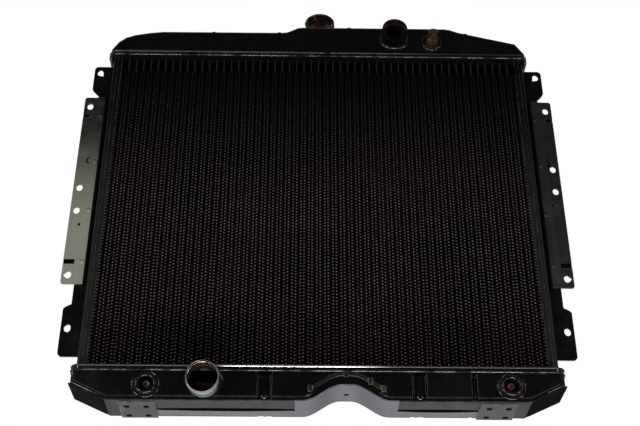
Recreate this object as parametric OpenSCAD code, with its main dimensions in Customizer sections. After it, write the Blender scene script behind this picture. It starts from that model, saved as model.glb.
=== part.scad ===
// Down-flow car radiator: soldered tube-and-fin core between two pressed tanks, with side brackets,
// two hose necks, a filler neck, a vent cock and an oil cooler inside the bottom tank.
// X runs across the radiator, +Y goes from the hose side into the core, +Z is up.
// Z = 0 is the underside of the corner plates. The whole part is centred on X = 0 and Y = 0.

/* [Core] */
// Number of tubes in one row
tubes_per_row = 53; // [21:2:71]
// Number of rows of tubes, front to back
tube_rows = 3; // [2:1:4]
// Distance between neighbouring tubes in a row
tube_pitch = 11.1; // [9:0.1:16]
// Thickness of a flat tube
tube_t = 2.2; // [1.6:0.1:3]
// Width of a flat tube, front to back
tube_w = 13.6; // [10:0.2:15]
// Distance between rows
row_pitch = 16.8; // [16:0.1:20]
// Wall of a tube
tube_wall = 0.25; // [0.15:0.05:0.5]
// Free height of the core between the two headers
core_h = 511; // [250:1:700]
// How far a tube sticks through each header
tube_stick = 3; // [2:0.5:4]
// Bare length of tube under the top header
bare_top = 24; // [6:1:40]
// Bare length of tube over the bottom header
bare_bottom = 2.4; // [1:0.2:20]
// Depth of the fin strips, front to back
fin_depth = 51; // [32:1:72]
// Thickness of the fin ribbon
fin_t = 0.3; // [0.2:0.05:0.5]
// Number of waves in a fin strip
fin_waves = 16; // [8:1:20]
// Gap left for solder between soldered pieces
solder_gap = 0.1; // [0.05:0.05:0.3]

/* [Headers] */
// Thickness of the header sheet
header_t = 1.8; // [1.2:0.2:3]
// Height of the header's turned-up rim
rim_h = 9; // [7:0.5:14]
// Thickness of the rim where it wraps the tank's skirt
rim_t = 2.2; // [1.6:0.2:3]
// Size of the rolled bead along the rim's two edges
rim_bead = 2.6; // [2:0.2:3.4]

/* [Tanks] */
// How far the tanks reach past the core on each side
tank_over = 18.4; // [16:0.2:30]
// Depth of both tanks, front to back
tank_d = 62; // [56:1:90]
// Corner radius of the tanks, seen from above
tank_corner = 12; // [4:1:20]
// Wall of the tanks
tank_wall = 1.6; // [1.2:0.2:2.4]
// Height of the top tank over the header at its crown
crown_h = 61; // [50:1:90]
// Drop of the left shoulder below the crown
left_drop = 11; // [2:1:20]
// Where the crown steps down to the left shoulder
crown_left = -54; // [-80:1:-40]
// Where the crown starts to slope down on the right
crown_right = 196; // [192:1:200]
// Height of the bottom tank under its header
bottom_h = 45; // [44:1:70]
// Width of the cut-off lower corners
chamfer_w = 46; // [20:1:50]
// Height of the cut-off lower corners
chamfer_h = 22; // [8:1:24]
// Radius of the pressed beads
bead_r = 3.5; // [2:0.5:5]
// Where the beads of the top tank stand
top_beads = [-162, -61, 47, 228];
// Depth of the upright channels pressed into the bottom tank
channel_deep = 2.5; // [1:0.25:3]
// Width of the two wide channels
channel_wide = 20; // [12:1:26]
// Width of the narrow channel beside the right port
channel_narrow = 8; // [6:1:12]
// Distance from the lower hose neck to the channel on its right
neck_channel_out = 77; // [60:1:84]
// Distance from the arch's centre to the channel on its right
arch_channel_out = 93; // [80:1:100]
// Distance from the right port to the narrow channel
port_channel_in = 47; // [36:1:60]

/* [Arch] */
// Centre of the arch under the bottom tank
arch_x = 36.5; // [-60:0.5:60]
// Width of the arch where it leaves the flat underside
arch_w = 112; // [80:1:150]
// Width of the arch's flat crown
arch_crown = 14; // [4:1:40]
// Rise of the arch
arch_h = 22; // [10:1:23]
// Length of the saddle plate under the arch
saddle_w = 132; // [120:1:170]

/* [Bottom strap and plates] */
// Sheet of the strap, the rails and the corner plates
strap_t = 2; // [1.5:0.5:3]
// Depth of the front strap
strap_d = 28; // [20:1:32]
// Gap between the front strap and the rear rails
strap_gap = 4; // [1:0.5:5]
// Depth of the rear rails
rail_d = 20; // [12:1:22]
// Gap between the tank's side and a corner plate's outer edge
plate_inset = 63; // [52:1:70]
// Length of a corner plate
plate_len = 47; // [44:1:60]
// Depth of the corner plates, front to back
plate_d = 50; // [46:1:50]
// Front edge of the corner plates, behind the tank's face
plate_front = 4; // [1:0.5:6]
// Middle of the hole pattern, from the corner plate's inner edge
plate_hole_in = 24.6; // [22:0.1:26]
// Middle of the hole pattern, behind the tank's face
plate_hole_back = 31.2; // [28:0.2:33]
// Spacing across the corner plate's holes
plate_hole_x = 24.8; // [15:0.1:35]
// Spacing along the depth of the corner plate's holes
plate_hole_y = 29.6; // [15:0.1:36]
// Radius of the corner plate's holes
plate_hole_r = 3.3; // [2:0.1:4.5]

/* [Side channels and brackets] */
// Sheet of the side channels
channel_t = 1.5; // [1:0.1:2]
// Width of the side channel's flanges
channel_w = 9; // [7:0.5:14]
// Radius of the rolled edge of the channel
roll_r = 4; // [3:0.25:4.5]
// Sheet of the side flanges and brackets
bracket_t = 2.5; // [2:0.25:4]
// Bracket plane behind the channel's front rolled edge
bracket_back = 4.5; // [4.5:0.5:10]
// Tab hole beyond the tank's side
tab_hole_out = 15; // [13:0.5:28]
// Edge of the tabs beyond their hole
tab_edge = 9; // [7:0.5:14]
// Lower tab's hole over the foot of the core
tab_low_up = 58.1; // [50:0.1:65]
// Upper tab's hole under the head of the core
tab_high_down = 22.9; // [18:0.1:40]
// Bracket hole beyond the tank's side
bracket_hole_out = 23; // [21:0.5:33]
// Edge of the bracket plate beyond its holes
bracket_edge = 9; // [7:0.5:14]
// Bracket's lower hole over the lower tab's hole
bracket_low_up = 79; // [70:1:90]
// Bracket's upper hole under the upper tab's hole
bracket_high_down = 66; // [60:1:80]
// Lower hole of the left bracket's middle pair, over the bracket's lower hole
left_pair_up = 103; // [30:1:180]
// Lower hole of the right bracket's middle pair, over the bracket's lower hole
right_pair_up = 142; // [30:1:180]
// Spacing of the middle pair
pair_gap = 38.1; // [25:0.1:45]
// Radius of the bracket holes
bolt_r = 4.4; // [3:0.1:5]
// Radius of the rivets
rivet_r = 2.5; // [2:0.25:3]

/* [Hose necks] */
// Outside radius of the upper hose neck
upper_r = 19; // [14:0.5:22]
// Length of the upper hose neck
upper_l = 26; // [24:1:60]
// Place of the upper hose neck across the tank
upper_x = 116; // [90:1:140]
// Height of the upper neck's axis over the top header
upper_z = 36; // [32:0.5:40]
// Outside radius of the lower hose neck
lower_r = 21; // [16:0.5:22]
// Length of the lower hose neck
lower_l = 34; // [26:1:60]
// Distance from the left port to the lower hose neck
lower_from_port = 74; // [50:1:90]
// Height of the lower neck's axis where it leaves the tank
lower_z = 27.5; // [26:0.5:30]
// Downward tilt of the lower hose neck
lower_tilt = 10; // [0:1:12]
// Wall of the necks
neck_wall = 1.4; // [1:0.1:2]
// Height of the hose bead
neck_bead = 0.9; // [0.4:0.1:1.5]
// Width of the collar round a neck
collar_w = 4; // [2:0.5:5]
// Thickness of the collar round a neck
collar_t = 2.4; // [1.5:0.1:4]

/* [Filler] */
// Place of the filler neck across the tank
filler_x = 2; // [-20:1:20]
// Inside radius of the filler neck
filler_r = 14.6; // [12:0.2:18]
// Radius of the filler flange
filler_flange_r = 23.5; // [21:0.5:28]
// Height of the filler flange over the crown
filler_h = 33; // [24:1:50]
// Radius of the overflow nipple
nipple_r = 3.4; // [2.5:0.1:4.5]
// Length of the overflow nipple
nipple_l = 22; // [14:1:40]

/* [Vent cock] */
// Place of the vent cock across the tank
vent_x = 174; // [165:1:180]
// Height of the vent cock's axis over the top header
vent_z = 29; // [26:0.5:34]
// Radius of the boss
vent_boss_r = 16.5; // [14:0.5:17]
// Radius of the hexagon's corners
vent_hex_r = 10.4; // [8:0.2:12]
// Radius of the turning stem
vent_stem_r = 3.6; // [3:0.1:4.5]
// Span of the winged handle
vent_wing = 15; // [12:0.5:24]
// Running clearance of the stem in its body
vent_clear = 0.05; // [0.02:0.01:0.09]

/* [Oil cooler] */
// Left port, in from the tank's side
port_left_in = 97; // [70:1:110]
// Right port, in from the tank's side
port_right_in = 70; // [66:1:90]
// Height of the ports
port_z = 22.5; // [22:0.5:24]
// Radius of the port's round flange
port_flange_r = 16.5; // [13:0.5:17]
// Radius of the port's threaded hole
port_hole_r = 6; // [4:0.25:7]
// Radius of the cooler tube
cooler_r = 8; // [6:0.5:9]

/* [Hidden] */
$fn = 64;
e = 0.01;
slot_clear = solder_gap;
core_half = (tubes_per_row + 1) * tube_pitch / 2 - tube_t / 2;
z_strap = strap_t;                          // underside of the strap and the rails
z_tank = z_strap + strap_t + solder_gap;    // underside of the bottom tank
z_low = z_tank + bottom_h;                  // underside of the bottom header's plate
z_core = z_low + header_t;                  // start of the free core
z_high = z_core + core_h;                   // underside of the top header's plate
z_top = z_high + header_t;                  // inside of the top header, where heights over it start
z_crown = z_top + crown_h;
z_fin_low = z_core + bare_bottom;
z_fin_high = z_high - bare_top;
core_y = tank_d / 2;
tank_half = core_half + tank_over;
tank_w = 2 * tank_half;
tab_hole_x = tank_half + tab_hole_out;
bracket_hole_x = tank_half + bracket_hole_out;
tab_low_z = z_core + tab_low_up;
tab_high_z = z_high - tab_high_down;
bracket_low_z = tab_low_z + bracket_low_up;
bracket_high_z = tab_high_z - bracket_high_down;
left_pair_z = bracket_low_z + left_pair_up;
right_pair_z = bracket_low_z + right_pair_up;
port_left = -tank_half + port_left_in;
port_right = tank_half - port_right_in;
lower_x = port_left + lower_from_port;
plate_out = tank_half - plate_inset;
plate_in = plate_out - plate_len;
rail_back = strap_d + strap_gap + rail_d;   // rear edge of the sheet under the tank
saddle_low = arch_x - saddle_w / 2;         // ends of the saddle plate
saddle_high = arch_x + saddle_w / 2;
rim_gap = solder_gap;
rim_out = rim_gap + rim_t;                  // how far the rim stands proud of the tank
arch_steps = 12;
channel_front = core_y - fin_depth / 2 - 2;
bracket_y = channel_front + 2 * roll_r - 1 + bracket_back;
channel_in = core_half + solder_gap;
channel_out = channel_in + channel_t;
flange_in = channel_out + solder_gap;
flange_out = tab_hole_x + tab_edge;
bracket_out = bracket_hole_x + bracket_edge;
bracket_in = channel_in + channel_w + roll_r + 3;
flange_mid = (bracket_hole_x - bolt_r) - 5;
head_r = rivet_r * 1.7;
rivet_x = (bracket_in + flange_mid) / 2;
neck_in_upper = upper_r - neck_wall;
neck_in_lower = lower_r - neck_wall;
seat_h = 3;
vent_barrel_r = vent_stem_r + 3;
vent_boss_t = 4;
vent_hex_t = 9;
vent_barrel_l = 9;
vent_front = vent_boss_t + vent_hex_t + vent_barrel_l;
vent_wing_l = 11;
vent_shank = 8;                             // length of the body inside the boss and the tank
vent_out = vent_front + vent_wing_l + 0.4;
lower_out = lower_l * cos(lower_tilt) + lower_r * sin(lower_tilt);
front_reach = max(lower_out, upper_l, vent_out);
nipple_start = filler_r + 0.3;
back_reach = max(tank_d + rim_out + rim_bead / 2, core_y + nipple_start + nipple_l);
y_shift = (front_reach - back_reach) / 2;   // puts the middle of the whole depth on Y = 0
bar_x = [for (i = [0 : tubes_per_row - 1]) (i - (tubes_per_row - 1) / 2) * tube_pitch];
fin_third = floor((tubes_per_row + 1) / 3);
fin_x = [for (i = [0 : tubes_per_row]) (i - tubes_per_row / 2) * tube_pitch];
row_y = [for (i = [0 : tube_rows - 1]) core_y + (i - (tube_rows - 1) / 2) * row_pitch];
cooler_z = z_low - cooler_r - 4;
cooler_y = core_y + 2;

black = [0.07, 0.07, 0.075];
grey_green = [0.36, 0.38, 0.33];
steel_grey = [0.5, 0.52, 0.56];
copper = [0.45, 0.27, 0.19];
brass = [0.62, 0.52, 0.3];

// ---------- helpers ----------

// Puts a piece into the centred frame
module placed() {
    translate([0, y_shift, 0])
        children();
}

// Mirrors a right-hand piece to the left
module on_side(side) {
    if (side < 0)
        mirror([1, 0, 0])
            children();
    else
        children();
}

// A cylinder that starts at the tank's face plane and comes out towards -Y
module out_cyl(r, from, to) {
    translate([0, -from, 0])
        rotate([90, 0, 0])
            cylinder(r = r, h = to - from);
}

// A rectangle with round corners, centred
module round_rect(w, d, r) {
    square([w - 2 * r, d], center = true);
    square([w, d - 2 * r], center = true);
    for (sx = [-1, 1])
        for (sy = [-1, 1])
            translate([sx * (w / 2 - r), sy * (d / 2 - r)])
                circle(r = r);
}

// A flat tube's outline, centred, long side along Y
module flat_oval(w, t) {
    square([t, w - t], center = true);
    for (s = [-1, 1])
        translate([0, s * (w - t) / 2])
            circle(r = t / 2, $fn = 24);
}

// Draws an X-Z outline as a slab from y0 to y1
module slab(y0, y1) {
    translate([0, y1, 0])
        rotate([90, 0, 0])
            linear_extrude(height = y1 - y0)
                children();
}

// The column that a tank fills, seen from above, with the wall taken off
module tank_column(wall, z0, z1) {
    translate([0, core_y, z0])
        linear_extrude(height = z1 - z0)
            round_rect(tank_w - 2 * wall, tank_d - 2 * wall, tank_corner - wall);
}

// Moves every edge of an anticlockwise outline inwards by t
function unit(v) = v / norm(v);
function inset(p, t) = [
    for (i = [0 : len(p) - 1])
        let (a = p[(i + len(p) - 1) % len(p)],
             b = p[i],
             c = p[(i + 1) % len(p)],
             u = unit(b - a),
             v = unit(c - b),
             nu = [-u[1], u[0]],
             nv = [-v[1], v[0]])
        b + t / (1 + nu * nv) * (nu + nv)
];

// ---------- tanks ----------

// Front outline of the top tank: a steep left shoulder, a step up to the crown, a long right slope
function top_outline() = [
    [-tank_half, z_top],
    [tank_half, z_top],
    [tank_half, z_top + 8],
    [tank_half - 12, z_top + 27],
    [crown_right + 22, z_crown - 7],
    [crown_right + 8, z_crown - 1.5],
    [crown_right, z_crown],
    [crown_left + 30, z_crown],
    [crown_left + 22, z_crown - 1],
    [crown_left + 5, z_crown - left_drop + 1],
    [crown_left - 3, z_crown - left_drop],
    [-tank_half + 76, z_crown - left_drop - 1],
    [-tank_half + 56, z_crown - left_drop - 3],
    [-tank_half + 18, z_crown - left_drop - 10],
    [-tank_half + 8, z_crown - left_drop - 21],
    [-tank_half, z_top + 10]
];

module top_solid(wall) {
    intersection() {
        slab(-e, tank_d + e)
            polygon(inset(top_outline(), wall));
        tank_column(wall, z_top, z_crown);
    }
}

module top_tank() {
    bead_low = z_top + rim_h + rim_bead;
    color(black) placed() difference() {
        union() {
            top_solid(0);
            for (x = top_beads)
                for (y = [0, tank_d])
                    intersection() {
                        translate([x, y, bead_low])
                            cylinder(r = bead_r, h = z_crown - bead_low, $fn = 32);
                        slab(-bead_r, tank_d + bead_r)
                            polygon(inset(top_outline(), 2));
                    }
        }
        top_solid(tank_wall);
        translate([0, core_y, z_top - 1])
            linear_extrude(height = 1 + 2 * tank_wall)
                round_rect(tank_w - 2 * tank_wall, tank_d - 2 * tank_wall, tank_corner - tank_wall);
        translate([upper_x, 0, z_top + upper_z])
            out_cyl(upper_r + solder_gap, -bead_r - 2, 2);
        translate([vent_x, 0, z_top + vent_z])
            out_cyl(vent_barrel_r + solder_gap, -bead_r - 2, 2);
        translate([filler_x, core_y, z_crown - 3 * tank_wall])
            cylinder(r = filler_r + tank_wall + solder_gap, h = 6 * tank_wall);
    }
}

// Loose plate that stops the inflow from the upper neck hitting the tubes
module top_baffle() {
    plate_z = z_top + 7;
    color(copper) placed() {
        translate([upper_x - 35, tank_wall + solder_gap, plate_z])
            cube([70, tank_d - 2 * (tank_wall + solder_gap), 1.2]);
    }
}

// Height of the arch at a distance from its centre: a smooth ramp from the foot to the crown
function ramp(t) = t <= 0 ? 0 : t >= 1 ? 1 : t * t * (3 - 2 * t);
function arch_rise(d) = arch_h * ramp((arch_w / 2 - abs(d)) / (arch_w / 2 - arch_crown / 2));

// The arch's line from left foot to right foot, over the height z
function arch_line(z) = [
    for (i = [-arch_steps : arch_steps])
        let (d = i * arch_w / 2 / arch_steps)
        [arch_x + d, z + arch_rise(d)]
];

// Outline of the bottom tank, with its cut-off corners and the arch
function bottom_outline() = concat(
    [[-tank_half, z_low],
     [-tank_half, z_tank + chamfer_h],
     [-tank_half + chamfer_w, z_tank]],
    arch_line(z_tank),
    [[tank_half - chamfer_w, z_tank],
     [tank_half, z_tank + chamfer_h],
     [tank_half, z_low]]);

module bottom_solid(wall) {
    intersection() {
        slab(-e, tank_d + e)
            polygon(inset(bottom_outline(), wall));
        tank_column(wall, z_tank, z_low);
    }
}

// Upright channels pressed into both faces, widened by grow so that the wall follows them
module tank_channels(grow) {
    top = z_low - rim_h - rim_bead;
    for (c = [[lower_x + neck_channel_out, channel_wide],
              [arch_x + arch_channel_out, channel_wide],
              [port_right - port_channel_in, channel_narrow]])
        for (y = [0, tank_d])
            translate([c[0] - c[1] / 2 - grow, y - channel_deep - grow, z_tank - 1])
                cube([c[1] + 2 * grow, 2 * (channel_deep + grow), top - z_tank + 1 + grow]);
}

module bottom_tank() {
    color(black) placed() difference() {
        bottom_solid(0);
        tank_channels(0);
        difference() {
            bottom_solid(tank_wall);
            tank_channels(tank_wall);
        }
        translate([0, core_y, z_low - 2 * tank_wall])
            linear_extrude(height = 1 + 2 * tank_wall)
                round_rect(tank_w - 2 * tank_wall, tank_d - 2 * tank_wall, tank_corner - tank_wall);
        lower_frame()
            translate([0, 0, -20])
                cylinder(r = lower_r + solder_gap, h = 40);
        for (x = [port_left, port_right])
            translate([x, 0, z_strap + port_z])
                out_cyl(port_hole_r + 4 + solder_gap, -10, 2);
    }
}

// ---------- headers ----------

module header_slots(z) {
    for (x = bar_x)
        for (y = row_y)
            translate([x, y, z - 1])
                linear_extrude(height = header_t + 2)
                    flat_oval(tube_w + 2 * slot_clear, tube_t + 2 * slot_clear);
}

// The tray: a plate, a rim round the tank's skirt and a rolled bead along both edges of the rim.
// The rim goes from z0 to z0 + rim_h; the plate starts at plate_z.
module header_tray(plate_z, z0) {
    w = tank_w + 2 * rim_out;
    d = tank_d + 2 * rim_out;
    r = tank_corner + rim_out;
    difference() {
        union() {
            translate([0, core_y, z0])
                linear_extrude(height = rim_h)
                    round_rect(w, d, r);
            for (z = [z0, z0 + rim_h - rim_bead])
                translate([0, core_y, z])
                    linear_extrude(height = rim_bead)
                        round_rect(w + rim_bead, d + rim_bead, r + rim_bead / 2);
        }
        if (plate_z > z0 + header_t)
            translate([0, core_y, z0 - 1])
                linear_extrude(height = plate_z - z0 + 1)
                    round_rect(tank_w + 2 * rim_gap, tank_d + 2 * rim_gap, tank_corner + rim_gap);
        if (plate_z < z0 + header_t)
            translate([0, core_y, plate_z + header_t])
                linear_extrude(height = rim_h)
                    round_rect(tank_w + 2 * rim_gap, tank_d + 2 * rim_gap, tank_corner + rim_gap);
        header_slots(plate_z);
        children();
    }
}

module top_header() {
    color(black) placed() header_tray(z_high, z_high);
}

module bottom_header() {
    color(black) placed() header_tray(z_low, z_low + header_t - rim_h)
        lower_frame()
            translate([0, 0, -20])
                cylinder(r = lower_r + 2 * solder_gap, h = 60);
}

// ---------- core ----------

module tube_row(i) {
    z0 = z_low - tube_stick;
    color(copper) placed()
        for (x = bar_x)
            translate([x, row_y[i], z0])
                difference() {
                    linear_extrude(height = z_top + tube_stick - z0)
                        flat_oval(tube_w, tube_t);
                    translate([0, 0, -1])
                        linear_extrude(height = z_top + tube_stick - z0 + 2)
                            flat_oval(tube_w - 2 * tube_wall, tube_t - 2 * tube_wall);
                }
}

module tubes_front() {
    tube_row(0);
}

module tubes_middle() {
    for (i = [1 : 1 : tube_rows - 2])
        tube_row(i);
}

module tubes_rear() {
    tube_row(tube_rows - 1);
}

// Zigzag line between two tubes, from the bottom fin to the top one
function fin_line(half) = [
    for (i = [0 : 2 * fin_waves])
        [(i % 2 == 0 ? -1 : 1) * half, z_fin_low + i * (z_fin_high - z_fin_low) / (2 * fin_waves)]
];

// The same line moved sideways by t, with mitred corners
function beside(p, t) = [
    for (i = [0 : len(p) - 1])
        let (u = unit(p[max(i, 1)] - p[max(i, 1) - 1]),
             v = unit(p[min(i + 1, len(p) - 1)] - p[min(i + 1, len(p) - 1) - 1]),
             nu = [-u[1], u[0]],
             nv = [-v[1], v[0]])
        p[i] + t / (1 + nu * nv) * (nu + nv)
];

module fin_strips(first, last) {
    // the mitred crests stand out by less than the ribbon's thickness
    half = (tube_pitch - tube_t) / 2 - solder_gap - fin_t;
    far = beside(fin_line(half), fin_t / 2);
    near = beside(fin_line(half), -fin_t / 2);
    back = [for (i = [len(far) - 1 : -1 : 0]) far[i]];
    color(copper) placed()
        for (i = [first : last])
            translate([fin_x[i], 0, 0])
                slab(core_y - fin_depth / 2, core_y + fin_depth / 2)
                    polygon(concat(near, back));
}

module fin_strips_left() {
    fin_strips(0, fin_third - 1);
}

module fin_strips_middle() {
    fin_strips(fin_third, tubes_per_row - fin_third);
}

module fin_strips_right() {
    fin_strips(tubes_per_row + 1 - fin_third, tubes_per_row);
}

// ---------- side channels, flanges, brackets ----------

module side_channel(side) {
    front = channel_front;
    depth = fin_depth + 4;
    color(black) placed() on_side(side)
        translate([0, 0, z_core + solder_gap])
            linear_extrude(height = core_h - 2 * solder_gap) {
                translate([channel_in, front])
                    square([channel_t, depth]);
                for (y = [front, front + depth - channel_t])
                    translate([channel_in, y])
                        square([channel_w, channel_t]);
                translate([channel_in + channel_w, front + roll_r - 1])
                    circle(r = roll_r);
                translate([channel_in + channel_w, front + depth - roll_r + 1])
                    circle(r = roll_r);
            }
}

module side_channel_left() {
    side_channel(-1);
}

module side_channel_right() {
    side_channel(1);
}

// Keyhole-shaped cut: a round hole with a pointed notch at the angle a
module tear_hole(r, a) {
    circle(r = r);
    rotate(a)
        polygon([[0, -r * 0.7], [r * 1.6, 0], [0, r * 0.7]]);
}

// Outline of the long side flange, seen from the front, right-hand side
function flange_outline() =
    let (low = tab_low_z - 41,
         low_top = tab_low_z + 32,
         high = tab_high_z - 36,
         top = tab_high_z + 12)
    [
        [flange_in, low],
        [flange_out - 5, low],
        [flange_out, low + 6],
        [flange_out, low_top],
        [flange_mid, low_top + 2],
        [flange_mid, high - 8],
        [flange_out - 3, high],
        [flange_out, high + 4],
        [flange_out, top - 5],
        [flange_out - 4, top],
        [flange_in, top]
    ];

module side_flange(side) {
    low = tab_low_z - 41;
    top = tab_high_z + 12;
    leg = 22;
    color(black) placed() on_side(side)
        difference() {
            union() {
                slab(bracket_y, bracket_y + bracket_t)
                    polygon(flange_outline());
                translate([flange_in, bracket_y, low])
                    cube([bracket_t, leg, top - low]);
            }
            translate([tab_hole_x, bracket_y, tab_low_z])
                out_cyl(bolt_r, -bracket_t - 1, 1);
            slab(bracket_y - 1, bracket_y + bracket_t + 1)
                translate([tab_hole_x, tab_high_z])
                    tear_hole(bolt_r, 225);
            for (z = rivet_z())
                translate([rivet_x, bracket_y, z])
                    out_cyl(rivet_r + solder_gap, -bracket_t - 1, 1);
        }
}

module side_flange_left() {
    side_flange(-1);
}

module side_flange_right() {
    side_flange(1);
}

function plate_low() = bracket_low_z - 14;
function plate_high() = bracket_high_z + 17;
function rivet_z() = [for (k = [0 : 3]) plate_low() + 34 + k * (plate_high() - plate_low() - 68) / 3];

module side_bracket(side, pair_z) {
    y1 = bracket_y - solder_gap;
    color(side < 0 ? grey_green : black) placed() on_side(side)
        difference() {
            slab(y1 - bracket_t, y1)
                polygon([
                    [bracket_in, plate_low()],
                    [bracket_out - 2, plate_low()],
                    [bracket_out, plate_low() + 3],
                    [bracket_out, plate_high() - 3],
                    [bracket_out - 3, plate_high()],
                    [bracket_in, plate_high()]
                ]);
            for (z = [bracket_high_z, pair_z, pair_z + pair_gap])
                translate([bracket_hole_x, y1, z])
                    out_cyl(bolt_r, -1, bracket_t + 1);
            slab(y1 - bracket_t - 1, y1 + 1)
                translate([bracket_hole_x, bracket_low_z])
                    tear_hole(bolt_r, 0);
            for (z = rivet_z())
                translate([rivet_x, y1, z])
                    out_cyl(rivet_r + solder_gap, -1, bracket_t + 1);
        }
}

module side_bracket_left() {
    side_bracket(-1, left_pair_z);
}

module side_bracket_right() {
    side_bracket(1, right_pair_z);
}

// Domed rivets through the bracket and the flange
module rivets(side) {
    front = bracket_y - solder_gap - bracket_t;
    back = bracket_y + bracket_t;
    color(black) placed() on_side(side)
        for (z = rivet_z())
            translate([rivet_x, 0, z]) {
                out_cyl(rivet_r, -back - 1, -front + 1);
                for (s = [[front - solder_gap, 1], [back + solder_gap, -1]])
                    translate([0, s[0], 0])
                        rotate([90 * s[1], 0, 0])
                            rotate_extrude()
                                intersection() {
                                    square([head_r, head_r]);
                                    translate([0, -head_r * 0.5])
                                        circle(r = head_r * 1.118);
                                }
            }
}

module rivets_left() {
    rivets(-1);
}

module rivets_right() {
    rivets(1);
}

// ---------- hose necks ----------

// A neck along +Z from its root: tube with a hose bead; inner is how far it goes into the tank
module neck(r, l, inner) {
    bead_at = l - 8;
    rotate_extrude()
        difference() {
            union() {
                translate([r - neck_wall, -inner])
                    square([neck_wall, l + inner]);
                translate([r - 0.6, bead_at])
                    circle(r = neck_bead + 0.6, $fn = 32);
            }
            translate([0, -inner - 1])
                square([r - neck_wall, l + inner + 2]);
        }
}

module upper_frame() {
    translate([upper_x, 0, z_top + upper_z])
        rotate([90, 0, 0])
            children();
}

module lower_frame() {
    translate([lower_x, 0, lower_z])
        rotate([90 + lower_tilt, 0, 0])
            children();
}

module upper_hose_neck() {
    color(black) placed() upper_frame()
        neck(upper_r, upper_l, tank_wall + 2);
}

module upper_neck_collar() {
    gap = solder_gap;
    color(black) placed() intersection() {
        upper_frame()
            difference() {
                cylinder(r = upper_r + collar_w, h = collar_t + gap);
                translate([0, 0, -1])
                    cylinder(r = upper_r + gap, h = collar_t + 3);
                translate([0, 0, -1])
                    cylinder(r = upper_r + collar_w + 1, h = 1 + gap);
            }
        translate([upper_x - 50, -20, z_high + rim_h + gap])
            cube([100, 40, z_crown - z_high - rim_h - 2 * gap]);
    }
}

module lower_hose_neck() {
    color(black) placed() lower_frame()
        neck(lower_r, lower_l, tank_wall + 4);
}

module lower_neck_collar() {
    gap = solder_gap;
    top = z_low + header_t - rim_h - gap;
    color(black) placed() difference() {
        intersection() {
            translate([lower_x, 0, lower_z])
                out_cyl(lower_r + collar_w + 1, gap, collar_t + gap);
            translate([lower_x - 50, -20, z_strap])
                cube([100, 40, top - z_strap]);
        }
        lower_frame()
            translate([0, 0, -20])
                cylinder(r = lower_r + gap, h = 60);
    }
}

// ---------- filler ----------

module at_filler(z) {
    translate([filler_x, core_y, z])
        children();
}

module filler_neck() {
    bottom = z_crown - tank_wall - 3;
    top = z_crown + filler_h - 3;
    outer = filler_r + tank_wall;
    color(copper) placed() difference() {
        at_filler(0)
            rotate_extrude()
                translate([filler_r, bottom])
                    square([tank_wall, top - bottom]);
        at_filler(z_crown + filler_h * 0.45)
            rotate([-90, 0, 0])
                translate([0, 0, filler_r / 2])
                    cylinder(r = nipple_r + solder_gap, h = outer);
    }
}

// Turned-out flange with a rolled lip and two cams for the cap
module filler_flange() {
    top = z_crown + filler_h;
    outer = filler_r + tank_wall + solder_gap;
    color(copper) placed() {
        at_filler(0)
            difference() {
                rotate_extrude() {
                    translate([outer, top - 9])
                        square([1.6, 9]);
                    translate([outer, top - 1.8])
                        square([filler_flange_r - outer - 1.4, 1.8]);
                    translate([filler_flange_r - 1.6, top - 1.6])
                        circle(r = 1.6, $fn = 32);
                }
                for (a = [0, 180])
                    rotate([0, 0, a])
                        translate([-4, filler_flange_r - 4.5, top - 10])
                            cube([8, 6, 12]);
            }
        for (a = [20, 200])
            at_filler(top - 3.6)
                rotate([0, 0, a])
                    translate([filler_flange_r - 1.6, -3, 0])
                        cube([1.7, 6, 3]);
    }
}

// Ring under the neck that the cap's lower seal presses on
module filler_seat() {
    neck_foot = z_crown - tank_wall - 3;
    color(brass) placed() at_filler(neck_foot - solder_gap - seat_h)
        difference() {
            cylinder(r = filler_r + tank_wall, h = seat_h);
            translate([0, 0, -1])
                cylinder(r = filler_r - 4, h = seat_h + 2);
        }
}

module overflow_nipple() {
    start = nipple_start;
    color(brass) placed() at_filler(z_crown + filler_h * 0.45)
        rotate([-90, 0, 0])
            difference() {
                union() {
                    translate([0, 0, start])
                        cylinder(r = nipple_r, h = nipple_l);
                    translate([0, 0, start + nipple_l - 4])
                        rotate_extrude()
                            translate([nipple_r - 0.3, 0])
                                circle(r = 0.7, $fn = 24);
                }
                translate([0, 0, start - 1])
                    cylinder(r = nipple_r - 1, h = nipple_l + 2);
            }
}

// ---------- vent cock ----------

module vent_frame() {
    translate([vent_x, 0, z_top + vent_z])
        rotate([90, 0, 0])
            children();
}

module vent_boss() {
    color(black) placed() intersection() {
        vent_frame()
            rotate_extrude()
                polygon([
                    [vent_barrel_r + solder_gap, solder_gap],
                    [vent_boss_r, solder_gap],
                    [vent_boss_r - 1.2, vent_boss_t - 1],
                    [vent_boss_r - 3.2, vent_boss_t],
                    [vent_barrel_r + solder_gap, vent_boss_t]
                ]);
        translate([vent_x - 30, -20, z_high + rim_h + solder_gap])
            cube([60, 40, z_crown - z_high]);
    }
}

module vent_body() {
    hex_at = vent_boss_t + solder_gap;
    color(brass) placed() vent_frame()
        difference() {
            union() {
                translate([0, 0, -vent_shank])
                    cylinder(r = vent_barrel_r, h = vent_shank + vent_front);
                translate([0, 0, hex_at])
                    cylinder(r = vent_hex_r, h = vent_hex_t - solder_gap, $fn = 6);
            }
            translate([0, 0, -vent_shank - 1])
                cylinder(r = vent_stem_r + vent_clear, h = vent_shank + vent_front + 2);
        }
}

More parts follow.
